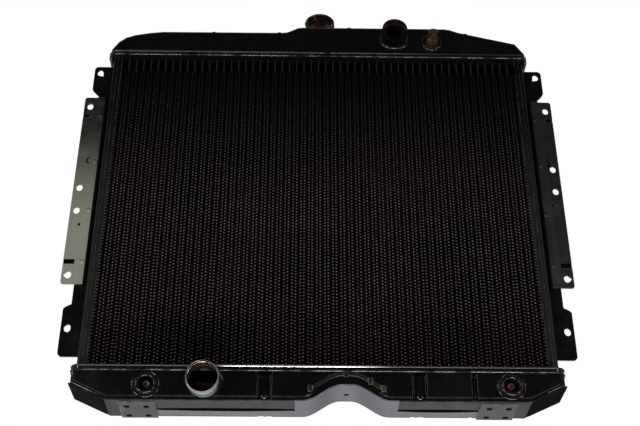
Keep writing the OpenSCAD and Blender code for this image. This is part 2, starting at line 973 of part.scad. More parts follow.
// Stem with a winged handle; it turns in the body
module vent_plug() {
    start = vent_front + 0.3;
    color(brass) placed() vent_frame() {
        translate([0, 0, -vent_shank - 5])
            cylinder(r = vent_stem_r, h = vent_shank + 5 + vent_front + vent_wing_l - 4);
        translate([0, 0, start])
            cylinder(r = vent_barrel_r - 0.6, h = 3);
        intersection() {
            translate([-vent_wing / 2, -1.6, start + 1])
                cube([vent_wing, 3.2, vent_wing_l - 1]);
            translate([0, 0, start])
                rotate([90, 0, 0])
                    cylinder(r = vent_wing / 2 + 2.5, h = 10, center = true);
        }
    }
}

// Ring pressed on the stem's inner end; it turns with the stem
module vent_clip() {
    color(brass) placed() vent_frame()
        translate([0, 0, -vent_shank - 4])
            difference() {
                cylinder(r = vent_stem_r + 2, h = 1.4);
                translate([0, 0, -1])
                    cylinder(r = vent_stem_r + e, h = 4);
            }
}

// Spring washer between the clip and the body
module vent_spring() {
    color(steel_grey) placed() vent_frame()
        translate([0, 0, -vent_shank - 2.3])
            difference() {
                cylinder(r = vent_stem_r + 2.4, h = 2);
                translate([0, 0, -1])
                    cylinder(r = vent_stem_r + 0.4, h = 4);
            }
}

// ---------- oil cooler ----------

module cooler_ends(r, low, high) {
    for (x = [port_left, port_right])
        translate([x, cooler_y, low])
            cylinder(r = r, h = high - low);
}

module cooler_shell() {
    low = z_strap + port_z - 11;
    high = z_low - 3.5;
    color(copper) placed() difference() {
        union() {
            translate([port_left, cooler_y, cooler_z])
                rotate([0, 90, 0])
                    cylinder(r = cooler_r, h = port_right - port_left);
            cooler_ends(cooler_r + 3, low, high);
        }
        translate([port_left, cooler_y, cooler_z])
            rotate([0, 90, 0])
                cylinder(r = cooler_r - 1, h = port_right - port_left);
        cooler_ends(cooler_r + 2, low + 1, high - 1);
        for (x = [port_left, port_right])
            translate([x, cooler_y, z_strap + port_z])
                rotate([90, 0, 0])
                    cylinder(r = port_hole_r + 2 + solder_gap, h = 40);
    }
}

// Crimped strip that stirs the oil
module cooler_turbulator() {
    crest = (cooler_r - 1) * 0.66;
    half_w = (cooler_r - 1) * 0.56;
    n = 16;
    x0 = port_left + cooler_r + 4;
    x1 = port_right - cooler_r - 4;
    low = [for (i = [0 : n]) [x0 + i * (x1 - x0) / n, cooler_z + (i % 2 == 0 ? -1 : 1) * crest]];
    high = [for (i = [n : -1 : 0]) low[i] + [0, 0.8]];
    color(steel_grey) placed()
        slab(cooler_y - half_w, cooler_y + half_w)
            polygon(concat(low, high));
}

module port_frame(x) {
    translate([x, 0, z_strap + port_z])
        rotate([90, 0, 0])
            children();
}

// Threaded port: a round dished flange outside, a spigot back to the cooler
module cooler_port(x) {
    washer = 1.2;
    spigot = cooler_y - cooler_r - 1;
    color(black) placed() port_frame(x)
        rotate_extrude()
            polygon([
                [port_hole_r, -spigot],
                [port_hole_r + 2, -spigot],
                [port_hole_r + 2, -9],
                [port_hole_r + 4, -9],
                [port_hole_r + 4, washer + 2 * solder_gap],
                [port_flange_r, washer + 2 * solder_gap],
                [port_flange_r, washer + 2],
                [port_flange_r - 2, washer + 3.4],
                [port_flange_r - 5, washer + 4.2],
                [port_hole_r + 4, washer + 8.4],
                [port_hole_r + 2.6, washer + 9.4],
                [port_hole_r, washer + 9.4]
            ]);
}

module cooler_port_left() {
    cooler_port(port_left);
}

module cooler_port_right() {
    cooler_port(port_right);
}

module port_washers() {
    color(copper) placed()
        for (x = [port_left, port_right])
            port_frame(x)
                translate([0, 0, solder_gap])
                    difference() {
                        cylinder(r = port_flange_r - 1.5, h = 1.2);
                        translate([0, 0, -1])
                            cylinder(r = port_hole_r + 4 + solder_gap, h = 4);
                    }
}

// ---------- bottom ----------

// Sheet of thickness strap_t that follows the tank's underside from x0 to x1
module under_sheet(x0, x1, y0, y1) {
    slab(y0, y1)
        intersection() {
            difference() {
                polygon(inset(bottom_outline(), -solder_gap - strap_t));
                polygon(inset(bottom_outline(), -solder_gap));
            }
            translate([x0, z_strap - e])
                square([x1 - x0, z_tank + chamfer_h - z_strap]);
        }
}

// Front strap of one side: a strip along the flat underside, full depth at the cut-off corner
module bottom_strap(side) {
    end = tank_half + strap_t + solder_gap;
    color(steel_grey) placed() {
        if (side < 0) {
            under_sheet(-end, saddle_low - solder_gap, 0.5, strap_d);
            under_sheet(-end, -plate_in, 0.5, rail_back);
        } else {
            under_sheet(saddle_high + solder_gap, end, 0.5, strap_d);
            under_sheet(plate_in, end, 0.5, rail_back);
        }
    }
}

module bottom_strap_left() {
    bottom_strap(-1);
}

module bottom_strap_right() {
    bottom_strap(1);
}

// Saddle plate that lines the arch from front to back, with a round drain hole at the crown
module arch_saddle() {
    color(steel_grey) placed() difference() {
        under_sheet(saddle_low, saddle_high, 0.5, rail_back);
        translate([arch_x, core_y, z_strap + arch_h - 5])
            cylinder(r = 4, h = 10);
    }
}

// Flat rear rail, level with the strap
module bottom_rail(x0, x1) {
    color(steel_grey) placed()
        translate([x0, strap_d + strap_gap, z_strap])
            cube([x1 - x0, rail_d, strap_t]);
}

module bottom_rail_left() {
    bottom_rail(-plate_in + solder_gap, saddle_low - solder_gap);
}

module bottom_rail_right() {
    bottom_rail(saddle_high + solder_gap, plate_in - solder_gap);
}

// Doubler plate with four bolt holes, the lowest face of the radiator
module corner_plate(side) {
    mid_x = plate_in + plate_hole_in;
    mid_y = plate_hole_back;
    color(steel_grey) placed() on_side(side)
        difference() {
            translate([plate_in, plate_front, 0])
                cube([plate_len, plate_d, strap_t - solder_gap]);
            for (sx = [-1, 1])
                for (sy = [-1, 1])
                    translate([mid_x + sx * plate_hole_x / 2, mid_y + sy * plate_hole_y / 2, -1])
                        cylinder(r = plate_hole_r, h = strap_t + 2);
        }
}

module corner_plate_left() {
    corner_plate(-1);
}

module corner_plate_right() {
    corner_plate(1);
}

// Small folded clips that hold the saddle's edge against the tank's face
module arch_clips() {
    color(black) placed()
        for (d = [-arch_w * 0.3, 0, arch_w * 0.3])
            translate([arch_x + d - 4, -solder_gap - 1.2, z_tank + arch_rise(d) + 3])
                cube([8, 1.2, 7]);
}

top_tank();
top_header();
top_baffle();
bottom_tank();
bottom_header();
tubes_front();
tubes_middle();
tubes_rear();
fin_strips_left();
fin_strips_middle();
fin_strips_right();
side_channel_left();
side_channel_right();
side_flange_left();
side_flange_right();
side_bracket_left();
side_bracket_right();
rivets_left();
rivets_right();
upper_hose_neck();
upper_neck_collar();
lower_hose_neck();
lower_neck_collar();
filler_neck();
filler_flange();
filler_seat();
overflow_nipple();
vent_boss();
vent_body();
vent_plug();
vent_clip();
vent_spring();
cooler_shell();
cooler_turbulator();
cooler_port_left();
cooler_port_right();
port_washers();
bottom_strap_left();
bottom_strap_right();
arch_saddle();
bottom_rail_left();
bottom_rail_right();
corner_plate_left();
corner_plate_right();
arch_clips();
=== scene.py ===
# %% [markdown]
# # A car radiator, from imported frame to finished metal
# The radiator is two pressed tanks, soldered to a core of flat tubes and folded fins, with steel
# brackets at its sides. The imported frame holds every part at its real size. This lesson rebuilds
# what shows, part by part, and gives each surface its finish: gloss black paint, thin grey-green
# paint, brown copper and brass. Lengths are in metres, X runs across, +Y goes in from the hose
# side, and +Z is up.

# %% Load the frame
import math
import bpy
import bmesh
from mathutils import Matrix, Vector


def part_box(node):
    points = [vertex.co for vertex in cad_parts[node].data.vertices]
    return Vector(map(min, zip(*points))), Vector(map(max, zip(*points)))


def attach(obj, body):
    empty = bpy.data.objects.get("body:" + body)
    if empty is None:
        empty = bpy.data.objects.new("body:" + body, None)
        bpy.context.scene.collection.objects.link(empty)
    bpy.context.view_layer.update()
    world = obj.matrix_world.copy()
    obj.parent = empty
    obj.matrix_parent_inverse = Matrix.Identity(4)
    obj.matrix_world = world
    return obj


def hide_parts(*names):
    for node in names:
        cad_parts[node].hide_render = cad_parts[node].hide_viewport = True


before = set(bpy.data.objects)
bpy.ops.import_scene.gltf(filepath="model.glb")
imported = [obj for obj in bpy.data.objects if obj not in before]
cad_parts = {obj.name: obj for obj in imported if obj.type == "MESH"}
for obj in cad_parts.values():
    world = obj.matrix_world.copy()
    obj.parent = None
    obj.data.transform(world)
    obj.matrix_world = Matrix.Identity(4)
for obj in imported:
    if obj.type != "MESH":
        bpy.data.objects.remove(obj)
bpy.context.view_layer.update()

MM = 0.001
NEAR = 1e-6
print("nodes in the frame:", len(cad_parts))

# %% [markdown]
# ## Camera
# The radiator is seen from below and in front, as if it leaned back over the viewer's head. The
# camera is set by its place and the direction that it looks in, with a slightly long lens, so
# that the sides close in a little towards the top.

# %% Camera
def look(name, place, tilt, turn, lens):
    """A camera at place, tilted up and turned to the right by these degrees."""
    data = bpy.data.cameras.new(name)
    data.lens = lens
    data.sensor_width = 36
    data.clip_start = 0.01
    camera = bpy.data.objects.new(name, data)
    camera.location = place
    camera.rotation_euler = (math.radians(90 + tilt), 0, math.radians(-turn))
    bpy.context.scene.collection.objects.link(camera)
    return camera

camera = look("camera", (-0.0222, -1.3519, -0.5475), 31.84, 1.036, 63.4)
bpy.context.scene.camera = camera
print("camera at", tuple(round(v, 3) for v in camera.location))

# %% [markdown]
# ## Light
# Lamps are soft areas around the object. The world is white where the camera or a reflection
# looks, and gives only part of the fill light. The pale floor is a disc that shows its upper face
# alone, so that a view from below passes through it, and it casts nothing on the object.

# %% World
def node_tree(owner):
    owner.use_nodes = True
    owner.node_tree.nodes.clear()
    return owner.node_tree

def add(tree, kind, **inputs):
    """A node of that kind with its inputs set: a value is a constant, a socket is a link."""
    node = tree.nodes.new(kind)
    for name, value in inputs.items():
        name = name.replace("_", " ")
        if name in node.inputs.keys():
            socket = node.inputs[name]
        else:
            socket = node.inputs[int(name.replace("in", ""))]
        if isinstance(value, bpy.types.NodeSocket):
            tree.links.new(value, socket)
        else:
            socket.default_value = value
    return node

def setup_world(fill, dark):
    """White for the camera. Reflections see the white backdrop, and the dark room before it."""
    world = bpy.data.worlds.new("studio")
    bpy.context.scene.world = world
    tree = node_tree(world)
    path = add(tree, "ShaderNodeLightPath")
    way = add(tree, "ShaderNodeTexCoord")
    along = add(tree, "ShaderNodeSeparateXYZ", Vector=way.outputs["Generated"])
    backdrop = add(tree, "ShaderNodeMapRange", Value=along.outputs[1], From_Min=-0.45,
                   From_Max=0.05, To_Min=dark, To_Max=0.4)
    backdrop.interpolation_type = "SMOOTHSTEP"
    light = add(tree, "ShaderNodeBackground", Color=(1, 1, 1, 1), Strength=fill)
    mirror = add(tree, "ShaderNodeBackground", Color=(1, 1, 1, 1), Strength=backdrop.outputs[0])
    white = add(tree, "ShaderNodeBackground", Color=(1, 1, 1, 1), Strength=1)
    shiny = add(tree, "ShaderNodeMath", in0=path.outputs["Is Glossy Ray"],
                in1=path.outputs["Is Transmission Ray"])
    shiny.operation = "MAXIMUM"
    first = add(tree, "ShaderNodeMixShader", in0=shiny.outputs[0], in1=light.outputs[0],
                in2=mirror.outputs[0])
    mix = add(tree, "ShaderNodeMixShader", in0=path.outputs["Is Camera Ray"],
              in1=first.outputs[0], in2=white.outputs[0])
    add(tree, "ShaderNodeOutputWorld", Surface=mix.outputs[0])

setup_world(0.25, 0.02)
bpy.context.scene.view_settings.view_transform = "Standard"
print("world:", bpy.context.scene.world.name)

# %% Lamps
def lamp(name, place, aim, size, power, height=None):
    """An area lamp at place that faces aim."""
    data = bpy.data.lights.new(name, "AREA")
    data.shape = "RECTANGLE"
    data.size = size
    data.size_y = height or size
    data.energy = power
    lamp_object = bpy.data.objects.new(name, data)
    lamp_object.location = place
    facing = Vector(aim) - Vector(place)
    lamp_object.rotation_euler = facing.to_track_quat("-Z", "Y").to_euler()
    bpy.context.scene.collection.objects.link(lamp_object)

MIDDLE = (0, 0, 0.3)
lamp("under_front", (0.1, -0.85, -1.45), (0, 0, 0.1), 1.8, 34, 0.4)
lamp("front_left", (-1.5, -1.5, -0.5), MIDDLE, 0.6, 15)
lamp("front_right", (1.6, -1.5, -0.5), MIDDLE, 0.4, 7)
lamp("strip_left", (-1.35, -1.5, 0.8), MIDDLE, 0.3, 5, 0.5)
lamp("strip_right", (1.35, -1.5, 0.8), MIDDLE, 0.3, 3.5, 0.5)
lamp("low_behind", (0.0, 1.1, -0.75), (0, 0, 0.05), 2.0, 7, 0.6)
lamp("back", (0.9, 1.9, 1.2), MIDDLE, 1.2, 22)
lamp("back_left", (-1.4, 1.6, 0.4), MIDDLE, 0.8, 10)

# %% Floor
def floor_disc():
    bm = bmesh.new()
    bmesh.ops.create_circle(bm, cap_ends=True, segments=96, radius=30)
    mesh = bpy.data.meshes.new("floor")
    bm.to_mesh(mesh)
    bm.free()
    floor = bpy.data.objects.new("floor", mesh)
    bpy.context.scene.collection.objects.link(floor)
    material = bpy.data.materials.new("floor_paper")
    tree = node_tree(material)
    side = add(tree, "ShaderNodeNewGeometry")
    paper = add(tree, "ShaderNodeBsdfPrincipled", Base_Color=(0.86, 0.86, 0.86, 1), Roughness=0.9)
    through = add(tree, "ShaderNodeBsdfTransparent")
    mix = add(tree, "ShaderNodeMixShader", in0=side.outputs["Backfacing"], in1=paper.outputs[0],
              in2=through.outputs[0])
    add(tree, "ShaderNodeOutputMaterial", Surface=mix.outputs[0])
    mesh.materials.append(material)
    for ray in ("diffuse", "glossy", "transmission", "shadow"):
        setattr(floor, "visible_" + ray, False)

floor_disc()
print("floor disc made")

# %% [markdown]
# ## Shared surface effects
# Three effects come back in most finishes, so each is a node group that gives out a mask or a
# height. Edge wear compares the true normal with one that is rounded over the edges. Skin is the
# slightly uneven film that sprayed paint leaves. Grime is a cloudy mask that gathers in patches.

# %% Node helpers
def group(name, inputs, outputs):
    """An empty shader group with float inputs and outputs, and its two end nodes."""
    tree = bpy.data.node_groups.new(name, "ShaderNodeTree")
    for label, value in inputs.items():
        socket = tree.interface.new_socket(label, in_out="INPUT", socket_type="NodeSocketFloat")
        socket.default_value = value
    for label in outputs:
        tree.interface.new_socket(label, in_out="OUTPUT", socket_type="NodeSocketFloat")
    start = tree.nodes.new("NodeGroupInput")
    end = tree.nodes.new("NodeGroupOutput")
    return tree, start, end

def math_node(tree, operation, first, second=0.0, clamp=False):
    node = add(tree, "ShaderNodeMath", in0=first, in1=second)
    node.operation = operation
    node.use_clamp = clamp
    return node.outputs[0]

def place_on(tree, stretch=(1, 1, 1)):
    """Object coordinates, stretched."""
    coordinates = add(tree, "ShaderNodeTexCoord")
    mapping = add(tree, "ShaderNodeMapping", Vector=coordinates.outputs["Object"], Scale=stretch)
    return mapping.outputs[0]

def cloud(tree, vector, scale, detail=3.0, roughness=0.5):
    node = add(tree, "ShaderNodeTexNoise", Vector=vector, Scale=scale, Detail=detail,
               Roughness=roughness)
    return node.outputs[0]

def between(tree, value, low, high):
    """0 below low, 1 above high, smooth between."""
    node = add(tree, "ShaderNodeMapRange", Value=value, From_Min=low, From_Max=high)
    node.interpolation_type = "SMOOTHSTEP"
    return node.outputs[0]

def blend_colour(tree, mask, first, second):
    node = tree.nodes.new("ShaderNodeMix")
    node.data_type = "RGBA"
    for socket, value in ((node.inputs[0], mask), (node.inputs[6], first), (node.inputs[7], second)):
        if isinstance(value, bpy.types.NodeSocket):
            tree.links.new(value, socket)
        else:
            socket.default_value = (*value, 1)
    return node.outputs[2]

# %% Edge wear
def make_edge_wear():
    tree, start, end = group("edge wear", {"Radius": 0.001, "Amount": 1.0, "Scale": 60.0}, ["Mask"])
    rounded = add(tree, "ShaderNodeBevel", Radius=start.outputs["Radius"])
    rounded.samples = 4
    true = add(tree, "ShaderNodeNewGeometry")
    facing = add(tree, "ShaderNodeVectorMath", in0=rounded.outputs[0], in1=true.outputs["Normal"])
    facing.operation = "DOT_PRODUCT"
    turned = math_node(tree, "SUBTRACT", 1.0, facing.outputs["Value"])
    strong = math_node(tree, "MULTIPLY", turned, 14.0)
    patchy = between(tree, cloud(tree, place_on(tree), start.outputs["Scale"], 5, 0.7), 0.4, 0.62)
    worn = math_node(tree, "MULTIPLY", strong, patchy)
    tree.links.new(math_node(tree, "MULTIPLY", worn, start.outputs["Amount"], True), end.inputs[0])
    return tree

EDGE_WEAR = make_edge_wear()

# %% Paint skin and grime
def make_skin():
    tree, start, end = group("paint skin", {"Peel": 900.0, "Wave": 40.0}, ["Height"])
    place = place_on(tree)
    peel = cloud(tree, place, start.outputs["Peel"], 2, 0.5)
    wave = cloud(tree, place, start.outputs["Wave"], 2, 0.4)
    small = math_node(tree, "MULTIPLY", peel, 0.12)
    tree.links.new(math_node(tree, "ADD", small, wave), end.inputs[0])
    return tree

def make_grime():
    tree, start, end = group("grime", {"Scale": 12.0, "Low": 0.5, "High": 0.7}, ["Mask"])
    patches = cloud(tree, place_on(tree), start.outputs["Scale"], 6, 0.65)
    tree.links.new(between(tree, patches, start.outputs["Low"], start.outputs["High"]), end.inputs[0])
    return tree

SKIN = make_skin()
GRIME = make_grime()

def effect(tree, shared, **inputs):
    """One of the shared groups, placed in a material with its own values."""
    node = tree.nodes.new("ShaderNodeGroup")
    node.node_tree = shared
    for name, value in inputs.items():
        node.inputs[name].default_value = value
    return node.outputs[0]

print("shared effects:", len(bpy.data.node_groups))

# %% [markdown]
# ## Finishes
# Each finish is one material with a Principled shader at its end. The black is a thin sprayed
# coat: almost no colour of its own, a gloss that breaks up a little, and grey where the edges are
# rubbed. The bracket on the left has a dusty grey-green coat, and the sheet under the tank is a
# satin blue-grey. Colours are mixed from two near tones, because real coats are never one tone.

# %% Painted finishes
def start_material(name):
    material = bpy.data.materials.new(name)
    return material, node_tree(material)

def bump(tree, height, strength, distance):
    node = add(tree, "ShaderNodeBump", Strength=strength, Distance=distance, Height=height)
    return node.outputs[0]

def end_material(tree, **inputs):
    shader = add(tree, "ShaderNodeBsdfPrincipled", **inputs)
    add(tree, "ShaderNodeOutputMaterial", Surface=shader.outputs[0])

def along(tree, axis):
    """The point's own x, y or z on the object, for axis 0, 1 or 2."""
    place = add(tree, "ShaderNodeTexCoord")
    return add(tree, "ShaderNodeSeparateXYZ", Vector=place.outputs["Object"]).outputs[axis]

def paint(name, deep, pale, worn, gloss, ior, wear=1.0, uneven=0.35, fade=None):
    """Sprayed paint: two near tones, rubbed edges and an uneven skin. gloss is (low, high).
    With fade (axis, start, end) the pale tone takes over between those places."""
    material, tree = start_material(name)
    grime = effect(tree, GRIME, Scale=9.0)
    # Where a finish sets fade, this mostly paints light and shade: the left bracket, the side channels
    # and the lower neck are painted lighter low down, the strap darker at its bent ends, and the tubes
    # get lighter top ends.
    if fade:
        axis, start, end = fade
        pale_fade = between(tree, math_node(tree, "ABSOLUTE", along(tree, axis)), start, end)
        spots = effect(tree, GRIME, Scale=60.0, Low=0.45, High=0.75)
        pale_fade = math_node(tree, "ADD", pale_fade, math_node(tree, "MULTIPLY", spots, 0.12))
        grime = math_node(tree, "SUBTRACT", pale_fade, math_node(tree, "MULTIPLY", grime, 0.15), True)
    edges = effect(tree, EDGE_WEAR, Radius=0.0012, Amount=wear)
    tone = blend_colour(tree, grime, deep, pale)
    colour = blend_colour(tree, edges, tone, worn)
    rough = add(tree, "ShaderNodeMapRange", Value=effect(tree, GRIME, Scale=35.0, Low=0.3, High=0.8),
                To_Min=gloss[0], To_Max=gloss[1])
    skin = bump(tree, effect(tree, SKIN), uneven, 0.0004)
    end_material(tree, Base_Color=colour, Roughness=rough.outputs[0], IOR=ior, Normal=skin)
    return material

BLACK = paint("gloss_black_paint", (0.0022, 0.0022, 0.0024), (0.0042, 0.0042, 0.004),
              (0.03, 0.03, 0.028), (0.12, 0.28), 1.5)
# A dull black with almost no reflection, used mostly to paint shade: in the slots and pockets, under
# the tank, on the header plates, on the middles of the fingers and on the sheet in the core.
DULL = paint("dull_black_shade_coat", (0.002, 0.002, 0.002), (0.004, 0.004, 0.004),
             (0.01, 0.01, 0.01), (0.7, 0.9), 1.08, wear=0.0)
# The left bracket's paint is near black high up and fades to grey-green lower down: painted light, with
# small random spots in it.
GREEN = paint("left_bracket_green_painted_light", (0.006, 0.0065, 0.0048), (0.17, 0.18, 0.14),
              (0.2, 0.2, 0.17), (0.4, 0.6), 1.35, wear=0.6, fade=(2, 0.46, 0.25))
# The lower neck's black turns pale grey on its lowest part: a painted reflection of the bright floor
# below.
NECK = paint("lower_neck_coat_painted_underlight", (0.0025, 0.0025, 0.0026), (0.17, 0.17, 0.175),
             (0.3, 0.3, 0.3), (0.15, 0.3), 1.5, fade=(2, 0.020, 0.007))
OLIVE = paint("olive_brazed_band", (0.01, 0.0105, 0.007), (0.035, 0.036, 0.025),
              (0.2, 0.2, 0.17), (0.15, 0.3), 1.5, wear=1.2)
# A darker copy of the grey-green for the right bracket and its rivets: painted shade on the side away
# from the light.
SHADED_GREEN = paint("right_bracket_green_painted_shade", (0.008, 0.0085, 0.0065), (0.02, 0.021, 0.017),
                   (0.07, 0.07, 0.06), (0.35, 0.55), 1.4, wear=0.8)
# The side channels fade from near black high up to a paler tone low down: painted light.
CHANNEL = paint("side_channel_coat_painted_light", (0.002, 0.0022, 0.002), (0.009, 0.0098, 0.008),
                (0.08, 0.08, 0.07), (0.3, 0.45), 1.25, fade=(2, 0.5, 0.3))
# The strap's satin blue-grey darkens towards the bends at its ends: painted shade.
STRAP = paint("satin_under_coat_painted_shade", (0.028, 0.028, 0.031), (0.006, 0.006, 0.007),
              (0.16, 0.16, 0.17), (0.35, 0.5), 1.15, wear=0.4, fade=(0, 0.262, 0.285))
PALE = paint("pale_under_paint", (0.07, 0.072, 0.08), (0.11, 0.113, 0.124),
             (0.3, 0.3, 0.32), (0.4, 0.55), 1.42, wear=0.4)

# %% [markdown]
# ## Bare metal
# Brass and copper show where the coat is missing: the vent cock, the filler neck, the seats of the
# oil ports and the insides of the hose necks. Solder shows along the rolls of the two trays, and its
# bright tone there is partly a painted highlight: clean and bright on one stretch of each upper roll,
# tarnished beyond it, and dim on the lower rolls. The inside of the lower neck is a lighter copper,
# painted light from below. These are metals with a tarnish that is darker and rougher than the clean
# metal, laid on by the grime mask.

# %% Bare metal finishes
def metal(name, clean, tarnish, rough, wear=0.8, low=0.35, high=0.65, highlight_span=None):
    """Metal under a patchy tarnish. Given a span (centre, reach) as its last argument, it is clean and
    bright only near that centre along X and tarnished beyond: a painted highlight.
    """
    material, tree = start_material(name)
    grime = effect(tree, GRIME, Scale=45.0, Low=low, High=high)
    # Painted highlight: clean near the span's centre, fading to tarnish away from it, with no edge
    # wear.
    if highlight_span:
        centre, reach = highlight_span
        away = math_node(tree, "ABSOLUTE", math_node(tree, "SUBTRACT", along(tree, 0), centre))
        dim = math_node(tree, "MULTIPLY", between(tree, away, reach * 0.6, reach * 1.4), 0.97)
        grime = math_node(tree, "MAXIMUM", grime, dim)
        wear = 0.0
    edges = effect(tree, EDGE_WEAR, Radius=0.0008, Amount=wear)
    colour = blend_colour(tree, edges, blend_colour(tree, grime, clean, tarnish), clean)
    roughness = add(tree, "ShaderNodeMapRange", Value=grime, To_Min=rough[0], To_Max=rough[1])
    skin = bump(tree, effect(tree, SKIN, Peel=1400.0, Wave=160.0), 0.3, 0.0003)
    end_material(tree, Base_Color=colour, Roughness=roughness.outputs[0], Metallic=0.9, Normal=skin)
    return material

BRASS = metal("old_brass", (0.2, 0.14, 0.075), (0.03, 0.02, 0.012), (0.28, 0.5))
COPPER = metal("bare_copper", (0.3, 0.13, 0.09), (0.05, 0.028, 0.022), (0.3, 0.5))
STAINED = metal("stained_copper", (0.16, 0.075, 0.055), (0.016, 0.012, 0.011), (0.25, 0.4),
                low=0.42, high=0.58)
# Bare copper inside the lower neck, lighter than the stained copper: partly painted light, as if lit
# from below.
BARE_BORE_LIT = metal("bare_bore_painted_light", (0.4, 0.3, 0.25), (0.02, 0.015, 0.013), (0.25, 0.4), low=0.48,
                  high=0.64)
# Solder on the upper roll of the bottom tray, partly real solder and partly a bright painted highlight
# along its middle stretch.
SOLDER_BRIGHT_HIGHLIGHT = metal("solder_bright_painted_highlight", (0.85, 0.82, 0.83), (0.04, 0.04, 0.04), (0.25, 0.5),
                      low=0.5, high=0.75, highlight_span=(-0.030, 0.095))
# Solder on the upper roll of the top tray, with a softer and longer painted highlight.
SOLDER_SOFT_HIGHLIGHT = metal("solder_soft_painted_highlight", (0.2, 0.2, 0.195), (0.02, 0.02, 0.02), (0.25, 0.5), low=0.45,
               high=0.65, highlight_span=(-0.12, 0.23))
# Solder on the lower rolls of both trays, partly a dimmer painted highlight.
SOLDER_DIM_HIGHLIGHT = metal("solder_dim_painted_highlight", (0.12, 0.12, 0.12), (0.008, 0.008, 0.008), (0.25, 0.5),
                   low=0.4, high=0.6)
STEEL = metal("plain_steel", (0.4, 0.4, 0.4), (0.22, 0.21, 0.2), (0.3, 0.5))
print("finishes:", [m.name for m in bpy.data.materials])

# %% [markdown]
# ## How pieces are made
# Every new piece starts as a small bmesh, is shaped by operators, and becomes an object whose
# place is in its mesh. Three helpers do most of the work: a plate is an outline that is extruded
# and bevelled, a turned part is a profile that is spun round an axis, and a tray is a stack of
# round-cornered rings that are bridged.

# %% Making an object from a bmesh
EVEN_SHADING_LIMIT = 30000

def even_shading(made):
    """Lets the large flat faces set the normals, so a bevel doesn't tint the face beside it."""
    shading = made.modifiers.new("even shading", "WEIGHTED_NORMAL")
    shading.keep_sharp = True
    graph = bpy.context.evaluated_depsgraph_get()
    mesh = bpy.data.meshes.new_from_object(made.evaluated_get(graph))
    made.modifiers.clear()
    made.data = mesh

def piece(name, bm, finish, replaced=(), body="radiator", angle=35):
    """Turns a bmesh into a finished piece that rides on its body. It is shaded smooth, but edges
    that turn by more than angle, in degrees, stay crisp."""
    mesh = bpy.data.meshes.new(name)
    bm.to_mesh(mesh)
    bm.free()
    mesh.shade_smooth()
    mesh.set_sharp_from_angle(angle=math.radians(angle))
    for material in finish if isinstance(finish, tuple) else (finish,):
        mesh.materials.append(material)
    made = bpy.data.objects.new(name, mesh)
    bpy.context.scene.collection.objects.link(made)
    if len(mesh.polygons) < EVEN_SHADING_LIMIT:
        even_shading(made)
    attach(made, body)
    if replaced:
        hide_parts(*replaced)
    return made

def join(bm, extra):
    """Adds the second bmesh to the first, and frees it."""
    mesh = bpy.data.meshes.new("extra")
    extra.to_mesh(mesh)
    extra.free()
    bm.from_mesh(mesh)
    bpy.data.meshes.remove(mesh)

# %% Outlines and plates
SHARP_TURN = 1.2
BROKEN_EDGE = 0.0004

def thicken(bm, faces, offset):
    """Extrudes the faces by the offset, and keeps them as the near side."""
    grown = bmesh.ops.extrude_face_region(bm, geom=faces, use_keep_orig=True)
    far = [v for v in grown["geom"] if isinstance(v, bmesh.types.BMVert)]
    bmesh.ops.translate(bm, vec=offset, verts=far)
    bmesh.ops.recalc_face_normals(bm, faces=bm.faces)

def slab(points, front, back):
    """An X-Z outline, extruded from front to back along Y."""
    bm = bmesh.new()
    first = bm.faces.new([bm.verts.new((x, front, z)) for x, z in points])
    thicken(bm, [first], (0, back - front, 0))
    return bm

def round_edges(bm, edges, width, segments=3):
    bmesh.ops.bevel(bm, geom=list(edges), offset=width, offset_type="OFFSET", segments=segments,
                    profile=0.5, affect="EDGES", material=-1, clamp_overlap=True)

def break_edges(bm):
    """A small bevel on each edge that turns sharply, as cut sheet has after deburring."""
    sharp = [e for e in bm.edges if len(e.link_faces) == 2 and e.calc_face_angle(0) > SHARP_TURN]
    round_edges(bm, sharp, BROKEN_EDGE, 2)

def sized(place, size):
    """A matrix that gives a unit cube or ball this size, at place."""
    return Matrix.Translation(place) @ Matrix.Diagonal((*size, 1))

# %% Turned parts
def aimed(axis, place):
    """A matrix that turns +Z to the axis and moves the origin to place."""
    matrix = Vector((0, 0, 1)).rotation_difference(axis).to_matrix().to_4x4()
    matrix.translation = place
    return matrix

def turned(profile, centre, axis, steps=64):
    """Spins a profile of (radius, height) points round the axis through centre."""
    bm = bmesh.new()
    axis = Vector(axis).normalized()
    matrix = aimed(axis, centre)
    points = [bm.verts.new(matrix @ Vector((radius, 0, height))) for radius, height in profile]
    edges = [bm.edges.new(pair) for pair in zip(points, points[1:])]
    bmesh.ops.spin(bm, geom=points + edges, cent=centre, axis=axis, angle=math.tau, steps=steps,
                   use_merge=True, use_duplicate=False)
    bmesh.ops.remove_doubles(bm, verts=bm.verts, dist=NEAR)
    bmesh.ops.recalc_face_normals(bm, faces=bm.faces)
    return bm

def arc(centre, radius, start, stop, steps):
    """Points on an arc, by degrees."""
    turns = [math.radians(start + (stop - start) * i / steps) for i in range(steps + 1)]
    return [(centre[0] + radius * math.cos(a), centre[1] + radius * math.sin(a)) for a in turns]

print("helpers ready")

# %% [markdown]
# ## Where things are
# All places come from the frame. The faces of the tanks, their height and their width are read
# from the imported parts, and the distances that only the looks need are added to them.

# %% Places
tank_low, tank_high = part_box("bottom_tank")
top_low, top_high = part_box("top_tank")
FACE = tank_low.y
BACK = tank_high.y
HALF = tank_high.x
MID_Y = (FACE + BACK) / 2
WALL = 1.6 * MM
RIM = 9 * MM
SIDES = ((-1, "left"), (1, "right"))
INWARD, OUTWARD, UPWARD = (0, 1, 0), (0, -1, 0), (0, 0, 1)
UPPER_RADIUS = 0.019
LOWER_RADIUS = 0.021
LOWER_Z = 0.0275

def middle_of(node):
    low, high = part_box(node)
    return (low + high) / 2

UPPER = middle_of("upper_hose_neck")
LOWER = middle_of("lower_neck_collar")
FILLER = middle_of("filler_flange")
VENT = middle_of("vent_body")
PORTS = [middle_of("cooler_port_left"), middle_of("cooler_port_right")]
ARCH = middle_of("arch_saddle")
print("tank face at", round(FACE, 4), "half width", round(HALF, 4))

